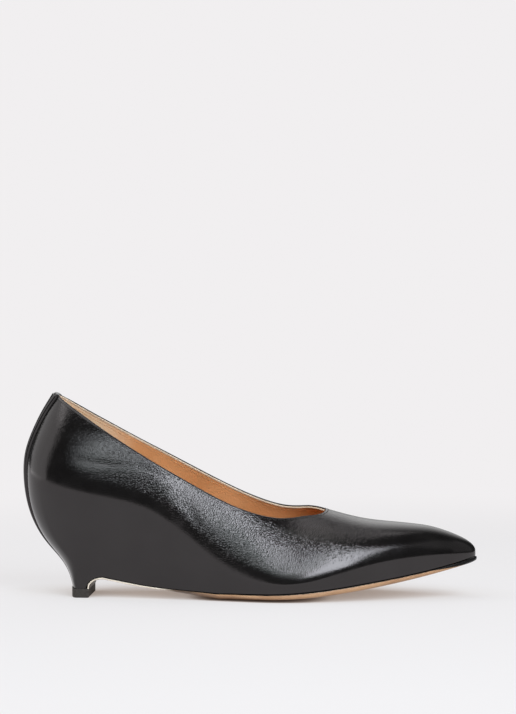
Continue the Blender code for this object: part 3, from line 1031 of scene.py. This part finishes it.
@dataclass(frozen=True)
class SoleLeather:
    """Dense sole leather: tan edge at the forefoot, paler along the waist, black at the toe, with painted
    shade on top and before the tread.
    """

    name: str = "sole_leather"
    tan: Pair = ((0.30, 0.155, 0.075), (0.46, 0.27, 0.145))
    cream: Pair = ((0.64, 0.54, 0.43), (0.80, 0.71, 0.60))
    # Black of the edge's top, which is painted shade of the crease under the upper, and of the whole edge at
    # the toe
    black: Pair = ((0.006, 0.0055, 0.0055), (0.010, 0.009, 0.009))
    brown: Pair = ((0.030, 0.022, 0.017), (0.050, 0.038, 0.029))
    # Dark brown of the waist's edge just behind the tread, painted shade
    painted_waist_shade: Pair = ((0.075, 0.042, 0.024), (0.12, 0.07, 0.042))
    clouds: tuple[Span, Span, float] = ((11.0, 4.0), (0.5, 2.0), 0.6)
    waist_m: Span = (-0.050, -0.040)
    tread_m: Span = (-0.032, -0.014)
    breast_m: Span = (-0.0795, -0.0765)
    breast_levels: Span = (0.05, 0.2)
    # How far black reaches down from the edge's top: a thin band of painted shade along the sole, the whole
    # edge at the toe
    top_shade_and_black_toe: Span = (0.16, 1.15)
    black_toe_m: Span = (0.101, 0.120)
    black_border: Span = (1.0, 1.1)
    uneven: Span = (-0.04, 0.04)
    uneven_noise: Span = (1.6, 3.0)
    sheen: Span = (0.5, 0.12)
    roughness: Span = (0.36, 0.52)
    rough_size: float = 3.0
    wave_size: float = 7.0
    wave_relief: float = 0.1
    fibre_noise: Span = (0.35, 3.0)
    fibre_relief: float = 0.03

    def material(self) -> Finish:
        """Black along the top of the edge is painted shade; at the toe black covers the whole edge, with an
        uneven border.

        Returns:
            The material.
        """
        nodes = FinishNodes(self.name)
        level, along, clouds = nodes.attribute("edge_level"), nodes.axis("X"), nodes.clouds(*self.clouds)
        pairs = self.tan, self.cream, self.painted_waist_shade, self.black, self.brown
        tan, cream, painted_waist_shade, black, brown = (nodes.tone(clouds, pair, CLOUDY) for pair in pairs)
        # The waist's edge passes from cream through a dark brown of painted shade to tan at the tread
        colour = nodes.blend(nodes.spread(along, 0.0, 1.0, self.waist_m), cream, painted_waist_shade)
        colour = nodes.blend(nodes.spread(along, 0.0, 1.0, self.tread_m), colour, tan)
        behind = nodes.spread(along, 1.0, 0.0, self.breast_m)
        under = nodes.spread(level, 1.0, 0.0, self.breast_levels)
        colour = nodes.blend(nodes.combine("MULTIPLY", behind, under), colour, brown)
        # Black from the edge's top: painted shade of the crease under the upper all along, and the whole
        # edge at the toe
        depth = nodes.spread(along, *self.top_shade_and_black_toe, self.black_toe_m)
        border = nodes.spread(nodes.noise(*self.uneven_noise), *self.uneven)
        reach = nodes.combine("ADD", nodes.combine("ADD", level, depth), border)
        top_shade_and_black_toe = nodes.spread(reach, 0.0, 1.0, self.black_border)
        nodes.feed(nodes.blend(top_shade_and_black_toe, colour, black), "Base Color")
        nodes.feed(nodes.spread(top_shade_and_black_toe, *self.sheen, (0.0, 1.0)), "Specular IOR Level")
        nodes.feed(nodes.spread(nodes.noise(self.rough_size), *self.roughness), "Roughness")
        waves, fibres = nodes.noise(self.wave_size), nodes.noise(*self.fibre_noise)
        nodes.emboss(((waves, self.wave_relief), (fibres, self.fibre_relief)))
        return nodes.material


@dataclass(frozen=True)
class Mottled:
    """Plain material with a faint mottle: sewing thread, the lift under the heel and the wedge's core."""

    name: str
    tones: Pair
    roughness: Span
    grain: Span
    relief: float = 0.04
    sheen: float = 0.5

    def material(self) -> Finish:
        """Colour, roughness and relief all from one noise.

        Returns:
            The material.
        """
        nodes = FinishNodes(self.name)
        mottle = nodes.noise(*self.grain)
        nodes.set(Specular_IOR_Level=self.sheen)
        nodes.feed(nodes.tone(mottle, self.tones), "Base Color")
        nodes.feed(nodes.spread(mottle, *self.roughness), "Roughness")
        nodes.emboss(((mottle, self.relief),))
        return nodes.material


@dataclass(frozen=True)
class StudioWhite:
    """White floor: lit paper and glow round the shoe, with its shade, then an even glow farther out."""

    name: str = "studio_white"
    paper: Colour = (0.63, 0.62, 0.625)
    roughness: float = 0.9
    cast: Stops = (
        (0.0, (0.14, 0.095, 0.075)),
        (0.3, (0.44, 0.36, 0.31)),
        (0.5, (0.66, 0.60, 0.57)),
        (0.75, (0.84, 0.815, 0.81)),
        (1.0, (0.879, 0.862, 0.871)),
    )
    cast_reach_m: float = 0.045
    cast_lean: Triple = (-0.1, -1.7, 0.0)
    contact: Stops = ((0.0, (0.05, 0.04, 0.035)), (0.1, (0.32, 0.27, 0.24)), (0.35, (1.0, 1.0, 1.0)))
    contact_reach_m: float = 0.0045
    glow_share: float = 0.7
    lit_radius_m: float = 0.32
    glow_radius_m: float = 0.75

    def material(self) -> Finish:
        """Paper and glow mixed by the distance from the middle.

        The glow is the product of a short contact shade, from what is right above the floor, and a longer
        cast shade, from what stands in a direction that leans towards the camera.

        Returns:
            The material.
        """
        nodes = FinishNodes(self.name)
        nodes.set(Base_Color=self.paper, Roughness=self.roughness, Specular_IOR_Level=0.0)
        upright = nodes.add("NewGeometry", {}).outputs["Normal"]
        leaning = nodes.add("VectorMath", {0: upright, 1: self.cast_lean}, operation="ADD").outputs["Vector"]
        leaning = nodes.add("VectorMath", {0: leaning}, operation="NORMALIZE").outputs["Vector"]
        contact = nodes.ramp(nodes.closeness(self.contact_reach_m, upright), self.contact)
        cast = nodes.ramp(nodes.closeness(self.cast_reach_m, leaning), self.cast)
        shade = nodes.add("VectorMath", {0: cast, 1: contact}, operation="MULTIPLY").outputs["Vector"]
        glow = nodes.add("Emission", {"Color": shade}).outputs["Emission"]
        away = nodes.add("VectorMath", {0: nodes.place}, operation="LENGTH").outputs["Value"]
        fade = {"From Min": self.lit_radius_m, "From Max": self.glow_radius_m, "To Min": self.glow_share}
        share = nodes.add("MapRange", {"Value": away, **fade}, interpolation_type="SMOOTHSTEP")
        paper = nodes.shader.outputs["BSDF"]
        mixed = nodes.add("MixShader", {"Fac": share.outputs["Result"], 1: paper, 2: glow})
        nodes.tree.links.new(mixed.outputs["Shader"], nodes.tree.nodes["Material Output"].inputs["Surface"])
        return nodes.material


@dataclass(frozen=True)
class UpperLeather:
    """The whole-cut upper from hem to collar with turned edges and creases, and the strip over its seam."""

    last: Last
    collar: CollarLine
    thickness: float = 0.9
    rear_rows: int = 168
    front_rows: int = 80
    columns: int = 82
    hem_steps: tuple[float, ...] = (0.0, 0.03, 0.1, 0.22, 0.42, 0.68, 1.0)
    hem_radii: Span = (0.2, 0.6)
    hem_turns: Span = (84.0, 136.0)
    grain_above: Span = (3.5, 11.0)
    least_grain: float = 0.12
    fold_half: float = 0.42
    fold_depth: float = 0.5
    fold_rise: float = 0.4
    fold_out: float = 0.05
    fold_sinks: float = 0.3
    fold_steps: tuple[int, int] = (10, 5)
    strip_half_widths: Span = (2.8, 6.0)
    strip_thicknesses: tuple[float, ...] = (0.9, 1.0, 1.3, 2.1, 2.3)
    strip_levels: tuple[float, ...] = (0.0, 0.12, 0.3, 0.6, 1.0)
    strip_rows: int = 150
    strip_columns: int = 36
    strip_round_powers: Span = (2.0, 4.0)
    strip_squares_up: float = 0.35
    strip_search: float = 0.2
    strip_marks: int = 401
    strip_sunk: float = 0.05
    tab_middle: Span = (0.05, -0.35)
    tab_half: Span = (1.5, 1.25)
    tab_reach: float = 5.9
    tab_points: int = 20
    tab_squareness: float = 3.0
    tab_end_powers: Span = (8.0, 0.25)
    creases_lateral: tuple[Crease, ...] = (
        Crease((26.0, 76.8), (74.0, 73.2), 2.0, 0.08),
        Crease((66.0, 74.0), (90.0, 65.0), 2.4, 0.08),
        Crease((22.0, 84.5), (46.0, 82.0), 3.0, -0.07),
        Crease((50.0, 85.0), (62.0, 74.0), 2.4, 0.06),
        Crease((58.0, 83.0), (72.0, 69.0), 2.4, 0.06),
        Crease((93.0, 54.0), (101.0, 38.0), 2.6, 0.12),
        Crease((82.0, 61.0), (92.0, 42.0), 3.8, -0.2),
    )
    creases_medial: tuple[Crease, ...] = (
        Crease((28.0, 77.0), (66.0, 73.0), 2.0, 0.08),
        Crease((52.0, 84.0), (66.0, 72.0), 2.4, 0.06),
        Crease((70.0, 70.0), (92.0, 56.0), 2.8, 0.09),
    )

    def sheet(self, side: Side) -> tuple[Array, Array]:
        """Points of the leather on one side, its hem turned under by a quarter round and creases pressed in.

        Args:
            side: Side of the shoe.

        Returns:
            Grid of points, rows along the shoe and columns up the section, and the share of grain at each.
        """
        share = self.last.shares(self.rear_rows, self.front_rows)
        hem = self.last.hem_at(share)
        lowest = hem + np.array(self.hem_steps)[None, :]
        fraction = np.linspace(0.0, 1.0, self.columns + 1)[None, 1:]
        rest = self.last.heights_up(share, fraction, lowest[:, -1:], side)
        height = np.concatenate([lowest, rest], axis=1)
        share = np.broadcast_to(share, height.shape)
        points = self.last.outside(share, height, side)
        radius = np.interp(smoothstep(points[..., 0], *self.hem_turns), (0.0, 1.0), self.hem_radii)
        above = np.clip(height - hem, 0.0, radius)
        turned = radius - np.sqrt(radius**2 - (radius - above) ** 2)
        creases = self.creases_lateral if side is Side.LATERAL else self.creases_medial
        relief = sum(crease.relief(points[..., 0], height) for crease in creases)
        equator = SECTIONS.curve("equator", self.last.station_at(share))
        grain = self.least_grain + (1.0 - self.least_grain) * smoothstep(height - equator, *self.grain_above)
        return points + (relief - turned)[..., None] * self.last.normal(share, height, side), grain

    def build(self, leather: Finish, edge: Finish) -> list[Piece]:
        """The leather shell and the folded topline.

        Args:
            leather: Finish of the upper.
            edge: Finish of the topline.

        Returns:
            The pieces.
        """
        (lateral, lateral_grain), (medial, medial_grain) = (self.sheet(side) for side in Side)
        patches = [Patch(lateral), Patch(medial, flipped=True)]
        grain = "grain", np.concatenate([lateral_grain, medial_grain])
        shell = make_piece(
            "upper_shell", patches, self.last, leather, closed=False, attribute=grain
        )
        thicken(shell, self.thickness)
        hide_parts("upper")
        fold = Patch(self.collar.carried(self.fold_profile()), ring_rows=True, ring_columns=True)
        return [shell, make_piece("topline_fold", [fold], self.last, edge)]

    def fold_profile(self) -> Array:
        """Section of the folded edge: flush with the leather below, a half round over its top.

        Returns:
            Places outward and upward, round the section.
        """
        turn = np.linspace(0.0, np.pi, self.fold_steps[0] + 1)
        middle = self.fold_out - self.fold_half
        over = np.stack([middle + self.fold_half * np.cos(turn), self.fold_rise * np.sin(turn)], axis=-1)
        down = np.linspace(0.0, 1.0, self.fold_steps[1] + 1)[1:, None]
        inner = over[-1] + down * np.array([0.0, -self.fold_depth])
        outer = over[0] + down[::-1] * np.array([-self.fold_sinks, -self.fold_depth])
        return np.concatenate([over, inner, outer])

    def strip_points(self, level: Array, place: Array, rise: Array) -> Array:
        """Points of the back strip over the leather.

        Args:
            level: Share of the way up from the hem to the collar, one for each row.
            place: Place across the strip, -1 to 1, one for each column.
            rise: Height over the leather at each row and column.

        Returns:
            Grid of points.
        """
        shares = np.linspace(0.0, self.strip_search, self.strip_marks)
        hem = self.last.hem_at(shares)[None, :]
        reach = np.abs(place) * np.interp(level, (0.0, 1.0), self.strip_half_widths)[:, None]
        halves = []
        for side in Side:
            height = self.last.heights_up(shares[None, :], level[:, None], hem, side)
            width = np.abs(self.last.outside(np.broadcast_to(shares, height.shape), height, side)[..., 1])
            share = np.array([np.interp(at, row, shares) for at, row in zip(reach, width)])
            height = self.last.heights_up(share, level[:, None], self.last.hem_at(share), side)
            normal = self.last.normal(share, height, side)
            halves.append(self.last.outside(share, height, side) + rise[..., None] * normal)
        return np.where((place < 0.0)[None, :, None], halves[0], halves[1])

    def build_strip(self, leather: Finish) -> Piece:
        """The raised strip over the back seam, crowned across with rounded edges: (1 - |a|^p)^(1/p).

        Args:
            leather: Finish of the strip.

        Returns:
            The piece.
        """
        level = np.linspace(0.0, 1.0, self.strip_rows + 1)
        place = crowded(self.strip_columns)
        thickness = np.interp(level, self.strip_levels, self.strip_thicknesses)[:, None]
        power = np.interp(level, (0.0, self.strip_squares_up), self.strip_round_powers)[:, None]
        crown = (1.0 - np.abs(place) ** power) ** (1.0 / power)
        outer = self.strip_points(level, place, thickness * crown)
        inner = self.strip_points(level, place, np.full((len(level), len(place)), -self.strip_sunk))
        ring = np.concatenate([outer, inner[:, ::-1]], axis=1)
        strip = make_piece("seam_strip", [Patch(ring, ring_columns=True)], self.last, leather)
        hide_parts("back_strip")
        return strip

    def build_tab(self, leather: Finish) -> Piece:
        """The end of the strip folded over the topline: a rounded profile that closes at both its ends.

        Args:
            leather: Finish of the strip.

        Returns:
            The piece.
        """
        across = self.collar.points[:, 1] / self.tab_reach
        height, (across_power, end_power) = self.collar.points[:, 2], self.tab_end_powers
        near = (np.abs(across) < 1.0) & (height > height.max() - self.tab_reach)
        profile = rounded_box((0.0, 0.0), self.tab_half, self.tab_points, self.tab_squareness)
        size = (1.0 - np.abs(across[near, None, None]) ** across_power) ** end_power
        place = np.array(self.tab_middle) + size * profile
        out = place[..., :1] * self.collar.outward[near, None]
        up = place[..., 1:] * self.collar.upward[near, None]
        ring = self.collar.points[near, None] + out + up
        return make_piece("strip_fold", [Patch(ring, ring_columns=True)], self.last, leather)


@dataclass(frozen=True)
class CollarStitches:
    """A row of short stitches just below the topline, lifted outward from the leather's outside."""

    last: Last
    collar: CollarLine
    lift: float
    pitch: float = 1.5
    length: float = 1.1
    radius: float = 0.18
    below_edge: float = 1.2
    slant: float = 0.16
    around: int = 6
    along: int = 6

    def build(self, name: str, thread: Finish, slot: Slot) -> Piece:
        """Stitches as slim spindles: the radius follows sqrt(1 - e^4) along each stitch.

        Args:
            name: Name of the piece.
            thread: Finish of the stitches.
            slot: Not used.

        Returns:
            All stitches as one piece.
        """
        count = round(self.collar.length / self.pitch)
        pick = np.linspace(0, len(self.collar.points), count, endpoint=False).astype(int)
        outward, upward = self.collar.outward[pick], self.collar.upward[pick]
        axis = unit(self.collar.forward[pick] + self.slant * upward)[:, None, None]
        centre = self.collar.points[pick] + self.lift * outward - self.below_edge * upward
        e = np.linspace(-1.0, 1.0, self.along + 1)[None, :, None, None]
        turn = np.linspace(0.0, 2.0 * np.pi, self.around, endpoint=False)[None, None, :, None]
        girth = self.radius * np.sqrt(1.0 - e**4)
        ring = girth * (np.cos(turn) * upward[:, None, None] + np.sin(turn) * outward[:, None, None])
        points = centre[:, None, None] + 0.5 * self.length * e * axis + ring
        patches = [Patch(stitch, ring_columns=True) for stitch in points]
        return make_piece(name, patches, self.last, thread)


@dataclass(frozen=True)
class Lining:
    """The tan lining inside the upper, its pale cut edge along the topline with a painted highlight, and the
    sock on the insole.
    """

    last: Last
    collar: CollarLine
    inset: float = 0.95
    thickness: float = 0.6
    rear_rows: int = 120
    front_rows: int = 44
    columns: int = 50
    toe_share: float = 1.8
    foot_depth: float = 0.6
    edge_middle: Span = (-1.26, -0.4)
    edge_half: Span = (0.44, 0.52)
    edge_points: int = 16
    edge_squareness: float = 4.0
    edge_rise: float = 0.25
    edge_rises: Span = (150.0, 164.0)
    sock_front_station: float = 236.0
    sock_rows: int = 170
    sock_columns: int = 32
    sock_inset: float = 2.2
    sock_thickness: float = 2.0
    sock_edge_drop: float = 0.5
    sock_edge_power: float = 24.0

    def sheet(self, side: Side) -> Array:
        """Points of the lining's outer face on one side, inset along the leather's normal.

        Args:
            side: Side of the shoe.

        Returns:
            Grid of points, rows along the shoe and columns up from the insole.
        """
        share = self.last.shares(self.rear_rows, self.front_rows, self.toe_share)
        fraction = np.linspace(0.0, 1.0, self.columns + 1)[None, :]
        low = self.seat(share) + self.foot_depth
        height = self.last.heights_up(share, fraction, low, side)
        share = np.broadcast_to(share, height.shape)
        normal = self.last.normal(share, height, side)
        return self.last.outside(share, height, side) - self.inset * normal

    def seat(self, share: Array) -> Array:
        """Height of the edge of the insole's underside at a share along the shoe, never below the hem."""
        seat = SECTIONS.curve("seat", self.last.station_at(share))
        return np.maximum(seat, self.last.hem_at(share) + self.last.gap)

    def build(self, tan: Finish, pale: Finish) -> list[Piece]:
        """The lining and its cut edge.

        Args:
            tan: Finish of the lining.
            pale: Finish of the cut edge.

        Returns:
            The pieces.
        """
        patches = [Patch(self.sheet(Side.LATERAL)), Patch(self.sheet(Side.MEDIAL), flipped=True)]
        lining = make_piece("lining", patches, self.last, tan, closed=False)
        thicken(lining, self.thickness)
        profile = rounded_box(self.edge_middle, self.edge_half, self.edge_points, self.edge_squareness)
        raised = self.edge_rise * smoothstep(self.collar.points[:, 0], *self.edge_rises)
        edge = Patch(self.collar.carried(profile, raised), ring_rows=True, ring_columns=True)
        return [lining, make_piece("lining_edge", [edge], self.last, pale)]

    def build_sock(self, tan: Finish) -> Piece:
        """The insole with its sock, cupped as the sole is and softly rounded over at its edge.

        Args:
            tan: Finish of the sock.

        Returns:
            The piece.
        """
        share = np.linspace(0.0, self.last.share_of_hem(self.sock_front_station), self.sock_rows + 1)
        seat = self.seat(share)
        left, right = (self.last.inside(share, seat, side, self.sock_inset) for side in Side)
        across = crowded(self.sock_columns)
        station = self.last.hem_station(self.last.station_at(share))
        sheet = self.last.spanned(left, right, station, across)
        top = sheet.copy()
        top[..., 2] += self.sock_thickness - self.sock_edge_drop * np.abs(across) ** self.sock_edge_power
        ring = np.concatenate([top, sheet[:, ::-1]], axis=1)
        sock = make_piece("sock", [Patch(ring, ring_columns=True)], self.last, tan)
        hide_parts("insole")
        return sock


@dataclass(frozen=True)
class Sole:
    """The leather sole that turns down the breast of the wedge, and the lift under the wedge's foot."""

    last: Last
    projection: float = 0.35
    seam: float = 0.08
    edge_bulge: float = 0.2
    edge_round: float = 0.42
    edge_round_starts: float = 0.4
    tip_thins: float = 0.5
    tip_run: float = 5.0
    rows: int = 260
    columns: int = 30
    edge_columns: int = 8
    lift_rows: int = 60
    lift_heel: float = 0.7
    lift_sections: tuple[Span, ...] = (
        (0.0, 0.3),
        (0.08, 0.1),
        (0.25, 0.0),
        (4.8, 0.0),
        (4.98, 0.0),
    )

    def build_outsole(self, leather: Finish) -> Piece:
        """Rings of the sole's section along the hem line, each square to that line in side view.

        Top and underside sag by the camber, and the cut edge bulges between them as the root of a sine.

        Args:
            leather: Finish of the sole.

        Returns:
            The piece.
        """
        share = np.linspace(self.last.share_of_hem(self.last.breast_station), 2.0, self.rows + 1)
        station = self.last.hem_station(self.last.station_at(share))
        line = np.stack([station, self.last.hem_height(station)], axis=-1)
        along = np.gradient(line, axis=0)
        down = unit(np.stack([along[:, 1], np.zeros_like(station), -along[:, 0]], axis=-1))
        down[0] = 1.0, 0.0, 0.0
        tip = self.tip_thins * (1.0 - quarter_round(self.last.toe_station - station, self.tip_run))
        thick = (self.last.thickness_of_sole(station) + self.last.gap - self.seam)[:, None, None]
        thick = thick * (1.0 - tip)[:, None, None]
        bevel = self.last.edge_bevel(station)[:, None, None]
        edges = [self.last.inside(share, line[:, 1], side, -self.projection) for side in Side]
        across = crowded(self.columns)
        top = self.last.spanned(*edges, station, across) + self.seam * down[:, None]
        pared = 1.0 - bevel * self.last.camber_shape(across)[None, :, None]
        rounding = self.edge_round * thick * (1.0 - bevel)
        half_width = 0.5 * np.linalg.norm(edges[1] - edges[0], axis=-1)[:, None, None]
        drawn_in = across[None, :, None] * rounding * np.minimum(half_width, 1.0)
        bottom = top + thick * pared * down[:, None] - drawn_in * [0.0, 1.0, 0.0]
        fall = np.linspace(0.0, 1.0, self.edge_columns + 2)[None, 1:-1, None]
        under = np.clip((fall - self.edge_round_starts) / (1.0 - self.edge_round_starts), 0.0, 1.0)
        bulge = self.edge_bulge * np.sqrt(np.sin(np.pi * fall))
        out = bulge - rounding * (1.0 - np.sqrt(1.0 - under**2))
        fallen = fall * thick * (1.0 - bevel) * down[:, None]
        sides = []
        for side, column in zip(Side, (0, -1)):
            flat = self.last.normal(share, line[:, 1], side) * np.array([1.0, 1.0, 0.0])
            sides.append(top[:, column, None] + fallen + out * unit(flat)[:, None])
        ring = np.concatenate([top, sides[1], bottom[:, ::-1], sides[0][:, ::-1]], axis=1)
        levels = np.ones_like(across), 1.0 - fall.ravel(), np.zeros_like(across), fall.ravel()
        level = "edge_level", np.broadcast_to(np.concatenate(levels), ring.shape[:2])
        patch = Patch(ring, ring_columns=True)
        sole = make_piece("leather_sole", [patch], self.last, leather, attribute=level)
        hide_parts("outsole")
        return sole

    def build_lift(self, rubber: Finish) -> Piece:
        """The lift: the outline of the wedge's foot stacked up through a few sections with eased arrises.

        Args:
            rubber: Finish of the lift.

        Returns:
            The piece.
        """
        share = np.linspace(0.0, self.last.share_of_hem(self.last.breast_station), self.lift_rows + 1)
        foot = np.full_like(share, self.last.foot_top)
        lateral, medial = (self.last.outside(share, foot, side) for side in Side)
        outline = np.concatenate([lateral[::-1], medial[1:]])
        front = self.last.breast_station + self.last.gap + self.last.flap_thickness
        corners = outline[[-1, 0]].copy()
        corners[:, 0] = front
        outline = np.concatenate([outline, corners])[:, :2]
        behind = (front - outline[:, 0]) / np.ptp(outline[:, 0])
        outline[:, 0] -= self.lift_heel * behind
        middle = (outline.min(0) + outline.max(0)) / 2.0
        half = (outline.max(0) - outline.min(0)) / 2.0
        height, inset = np.array(self.lift_sections).T
        flat = middle + (outline - middle)[None] * (1.0 - inset[:, None, None] / half)
        tall = np.broadcast_to(height[:, None, None], (len(height), len(outline), 1))
        stack = np.concatenate([flat, tall], axis=-1)
        lift = make_piece("lift", [Patch(stack, ring_columns=True)], self.last, rubber)
        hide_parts("top_piece")
        return lift


def direction(azimuth: float, elevation: float) -> Vector:
    """Direction from the shoe, in degrees round from its lateral side towards the toe and degrees up."""
    turn, rise = np.radians(azimuth), np.radians(elevation)
    return Vector((np.sin(turn) * np.cos(rise), -np.cos(turn) * np.cos(rise), np.sin(rise)))


@dataclass(frozen=True)
class SoftBox:
    """A studio light seen from the shoe at an angle, with the brightness of its face."""

    name: str
    azimuth: float
    elevation: float
    distance_m: float
    width_m: float
    height_m: float
    brightness: float
    soft_edge: float
    roll: float = 0.0
    colour: Colour = (1.0, 1.0, 1.0)

    def build(self) -> None:
        """A rectangle of light that faces the shoe; its power is pi times its area times its brightness."""
        away = direction(self.azimuth, self.elevation)
        data = bpy.data.lights.new(self.name, "AREA")
        data.shape = "RECTANGLE"
        data.size, data.size_y = self.width_m, self.height_m
        data.energy = np.pi * self.width_m * self.height_m * self.brightness
        data.color = self.colour
        self.soften(data)
        light = add_object(self.name, data)
        light.location = away * self.distance_m
        facing = (-away).to_track_quat("-Z", "Y")
        light.rotation_euler = (facing @ Quaternion((0.0, 0.0, 1.0), np.radians(self.roll))).to_euler()
        light.visible_camera = False

    def soften(self, data: bpy.types.Light) -> None:
        """Fade the light towards its edges: the product of smooth steps over the soft share at each edge.

        Args:
            data: The light.
        """
        data.use_nodes = True
        tree = data.node_tree
        place = add_node(tree, "NewGeometry", {}).outputs["Parametric"]
        axes = add_node(tree, "SeparateXYZ", {0: place}).outputs
        shown = None
        for axis in ("X", "Y"):
            for edge, inner in ((0.0, self.soft_edge), (1.0, 1.0 - self.soft_edge)):
                fade = {"Value": axes[axis], "From Min": edge, "From Max": inner, "To Max": shown}
                shown = add_node(tree, "MapRange", fade, interpolation_type="SMOOTHSTEP").outputs["Result"]
        tree.links.new(shown, tree.nodes["Emission"].inputs["Strength"])


@dataclass(frozen=True)
class Studio:
    """White floor, soft lights, dark room and the camera of the side view."""

    floor_radius_m: float = 6.0
    floor_middle_m: Triple = (0.0, 5.2, 0.0)
    floor_rings: int = 40
    floor_spokes: int = 96
    room: Colour = (0.06, 0.06, 0.06)
    haze: Colour = (0.22, 0.22, 0.22)
    page: Colour = (0.879, 0.862, 0.871)
    camera_azimuth: float = 3.3
    camera_elevation: float = 1.8
    camera_distance_m: float = 1.6
    camera_aim_m: Triple = (0.0043, 0.0, 0.133)
    lens: float = 145.0
    sensor: float = 36.0
    lights: tuple[SoftBox, ...] = (
        SoftBox("key_softbox", 25.5, 34.0, 1.5, 0.62, 1.26, 9.6, 0.1, -12.0, (0.86, 0.935, 1.0)),
        SoftBox("fill_softbox", -10.0, 29.0, 1.5, 1.5, 0.8, 4.4, 0.45, 0.0, (0.85, 0.965, 1.0)),
        SoftBox("side_card", -95.0, 24.0, 1.4, 1.5, 1.3, 0.95, 0.05),
        SoftBox("overhead_softbox", -100.0, 72.0, 1.7, 1.9, 2.1, 1.6, 0.1),
        SoftBox("back_card", 180.0, 33.0, 2.0, 3.0, 3.0, 1.35, 0.5),
        SoftBox("toe_card", 80.0, 30.0, 1.5, 1.6, 1.6, 0.2, 0.2),
    )

    def build(self, white: Finish) -> None:
        """Make the floor, the lights, the room and the camera.

        Args:
            white: Finish of the floor.
        """
        self.build_floor(white)
        for light in self.lights:
            light.build()
        self.build_room()
        self.build_camera()

    def build_floor(self, white: Finish) -> None:
        """A round floor: rings of points at growing radii about its middle.

        Args:
            white: Finish of the floor.
        """
        radius = self.floor_radius_m * np.linspace(0.0, 1.0, self.floor_rings + 1)[1:] ** 2
        turn = np.linspace(0.0, 2.0 * np.pi, self.floor_spokes, endpoint=False)
        ring = np.stack([np.cos(turn), np.sin(turn), np.zeros_like(turn)], axis=-1)
        patch = Patch(np.array(self.floor_middle_m) + radius[:, None, None] * ring[None], ring_columns=True)
        mesh = bpy.data.meshes.new("floor")
        faces = patch.quads(0).tolist() + [list(range(len(turn)))]
        mesh.from_pydata(patch.points.reshape(-1, 3).tolist(), [], faces)
        mesh.materials.append(white)
        floor = add_object("floor", mesh)

    def build_room(self) -> None:
        """A dark room for the reflections, haze for soft shadows, and the white page for the camera."""
        world = bpy.data.worlds.new("studio")
        bpy.context.scene.world = world
        world.use_nodes = True
        tree = world.node_tree
        room = tree.nodes["Background"]
        room.inputs["Color"].default_value = (*self.room, 1.0)
        rays = add_node(tree, "LightPath", {}).outputs
        shown = room.outputs["Background"]
        for ray, colour in (("Is Diffuse Ray", self.haze), ("Is Camera Ray", self.page)):
            seen = add_node(tree, "Background", {"Color": (*colour, 1.0)}).outputs["Background"]
            shown = add_node(tree, "MixShader", {"Fac": rays[ray], 1: shown, 2: seen}).outputs["Shader"]
        tree.links.new(shown, tree.nodes["World Output"].inputs["Surface"])
        bpy.context.scene.view_settings.view_transform = "Standard"

    def build_camera(self) -> None:
        """The camera of the side view, a long lens a little above the shoe."""
        back = direction(self.camera_azimuth, self.camera_elevation)
        data = bpy.data.cameras.new("camera")
        data.lens, data.sensor_width = self.lens, self.sensor
        camera = add_object("camera", data)
        camera.location = Vector(self.camera_aim_m) + back * self.camera_distance_m
        camera.rotation_euler = (-back).to_track_quat("-Z", "Y").to_euler()
        bpy.context.scene.camera = camera


def report(*pieces: Piece) -> None:
    """Log each piece with its number of faces."""
    for piece in pieces:
        LOG.info("%s: %d faces", piece.name, len(piece.data.polygons))


def main() -> None:
    """Build and dress the shoe's pieces, then the studio."""
    logging.basicConfig(level=logging.INFO, format="%(name)s: %(message)s")
    last = Last()
    collar = CollarLine.round_opening(last)
    black = BlackLeather().material()
    edge_black = BlackLeather("edge_leather", gloss=(0.42, 0.5)).material()
    strip_black = BlackLeather("strip_leather", wave_relief=0.08).material()
    lining_tones = (0.50, 0.225, 0.085), (0.64, 0.315, 0.135)
    heel_tones = (0.70, 0.52, 0.34), (0.82, 0.65, 0.46)
    tan = TanLeather("lining_leather", lining_tones, paler=heel_tones).material()
    sock_tan = TanLeather("sock_leather", ((0.60, 0.30, 0.125), (0.72, 0.39, 0.18))).material()
    # The cut edge is paler than the lining and lighter still, a painted highlight along the topline
    pale = TanLeather("cut_edge_with_painted_highlight", ((0.50, 0.38, 0.27), (0.64, 0.52, 0.40)), roughness=0.7).material()
    black_tones = (0.006, 0.006, 0.006), (0.016, 0.015, 0.015)
    tan_tones = (0.40, 0.21, 0.10), (0.56, 0.31, 0.16)
    black_thread = Mottled("black_thread", black_tones, (0.4, 0.6), (0.12, 2.0), relief=0.02).material()
    tan_thread = Mottled("tan_thread", tan_tones, (0.4, 0.6), (0.12, 2.0), relief=0.02).material()
    rubber_tones = (0.040, 0.035, 0.032), (0.056, 0.049, 0.045)
    core_tones = (0.36, 0.28, 0.19), (0.50, 0.41, 0.29)
    rubber = Mottled("lift_rubber", rubber_tones, (0.55, 0.7), (0.8, 4.0), sheen=0.1).material()
    moulded = Mottled("wedge_core", core_tones, (0.65, 0.8), (1.4, 4.0)).material()

    upper, lining, sole = UpperLeather(last, collar), Lining(last, collar), Sole(last)
    report(*upper.build(black, edge_black), upper.build_strip(strip_black), upper.build_tab(strip_black))
    outer = CollarStitches(last, collar, lift=0.06)
    inner = CollarStitches(last, collar, lift=-1.6, below_edge=2.4)
    report(outer.build("topline_stitches", black_thread, Slot.UPPER))
    report(inner.build("lining_stitches", tan_thread, Slot.SOCK))
    report(*lining.build(tan, pale), lining.build_sock(sock_tan))
    report(sole.build_outsole(SoleLeather().material()), sole.build_lift(rubber))

    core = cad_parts["heel_wedge"]
    core.data.materials.clear()
    core.data.materials.append(moulded)
    report(core)
    Studio().build(StudioWhite().material())


if __name__ == "__main__":
    main()
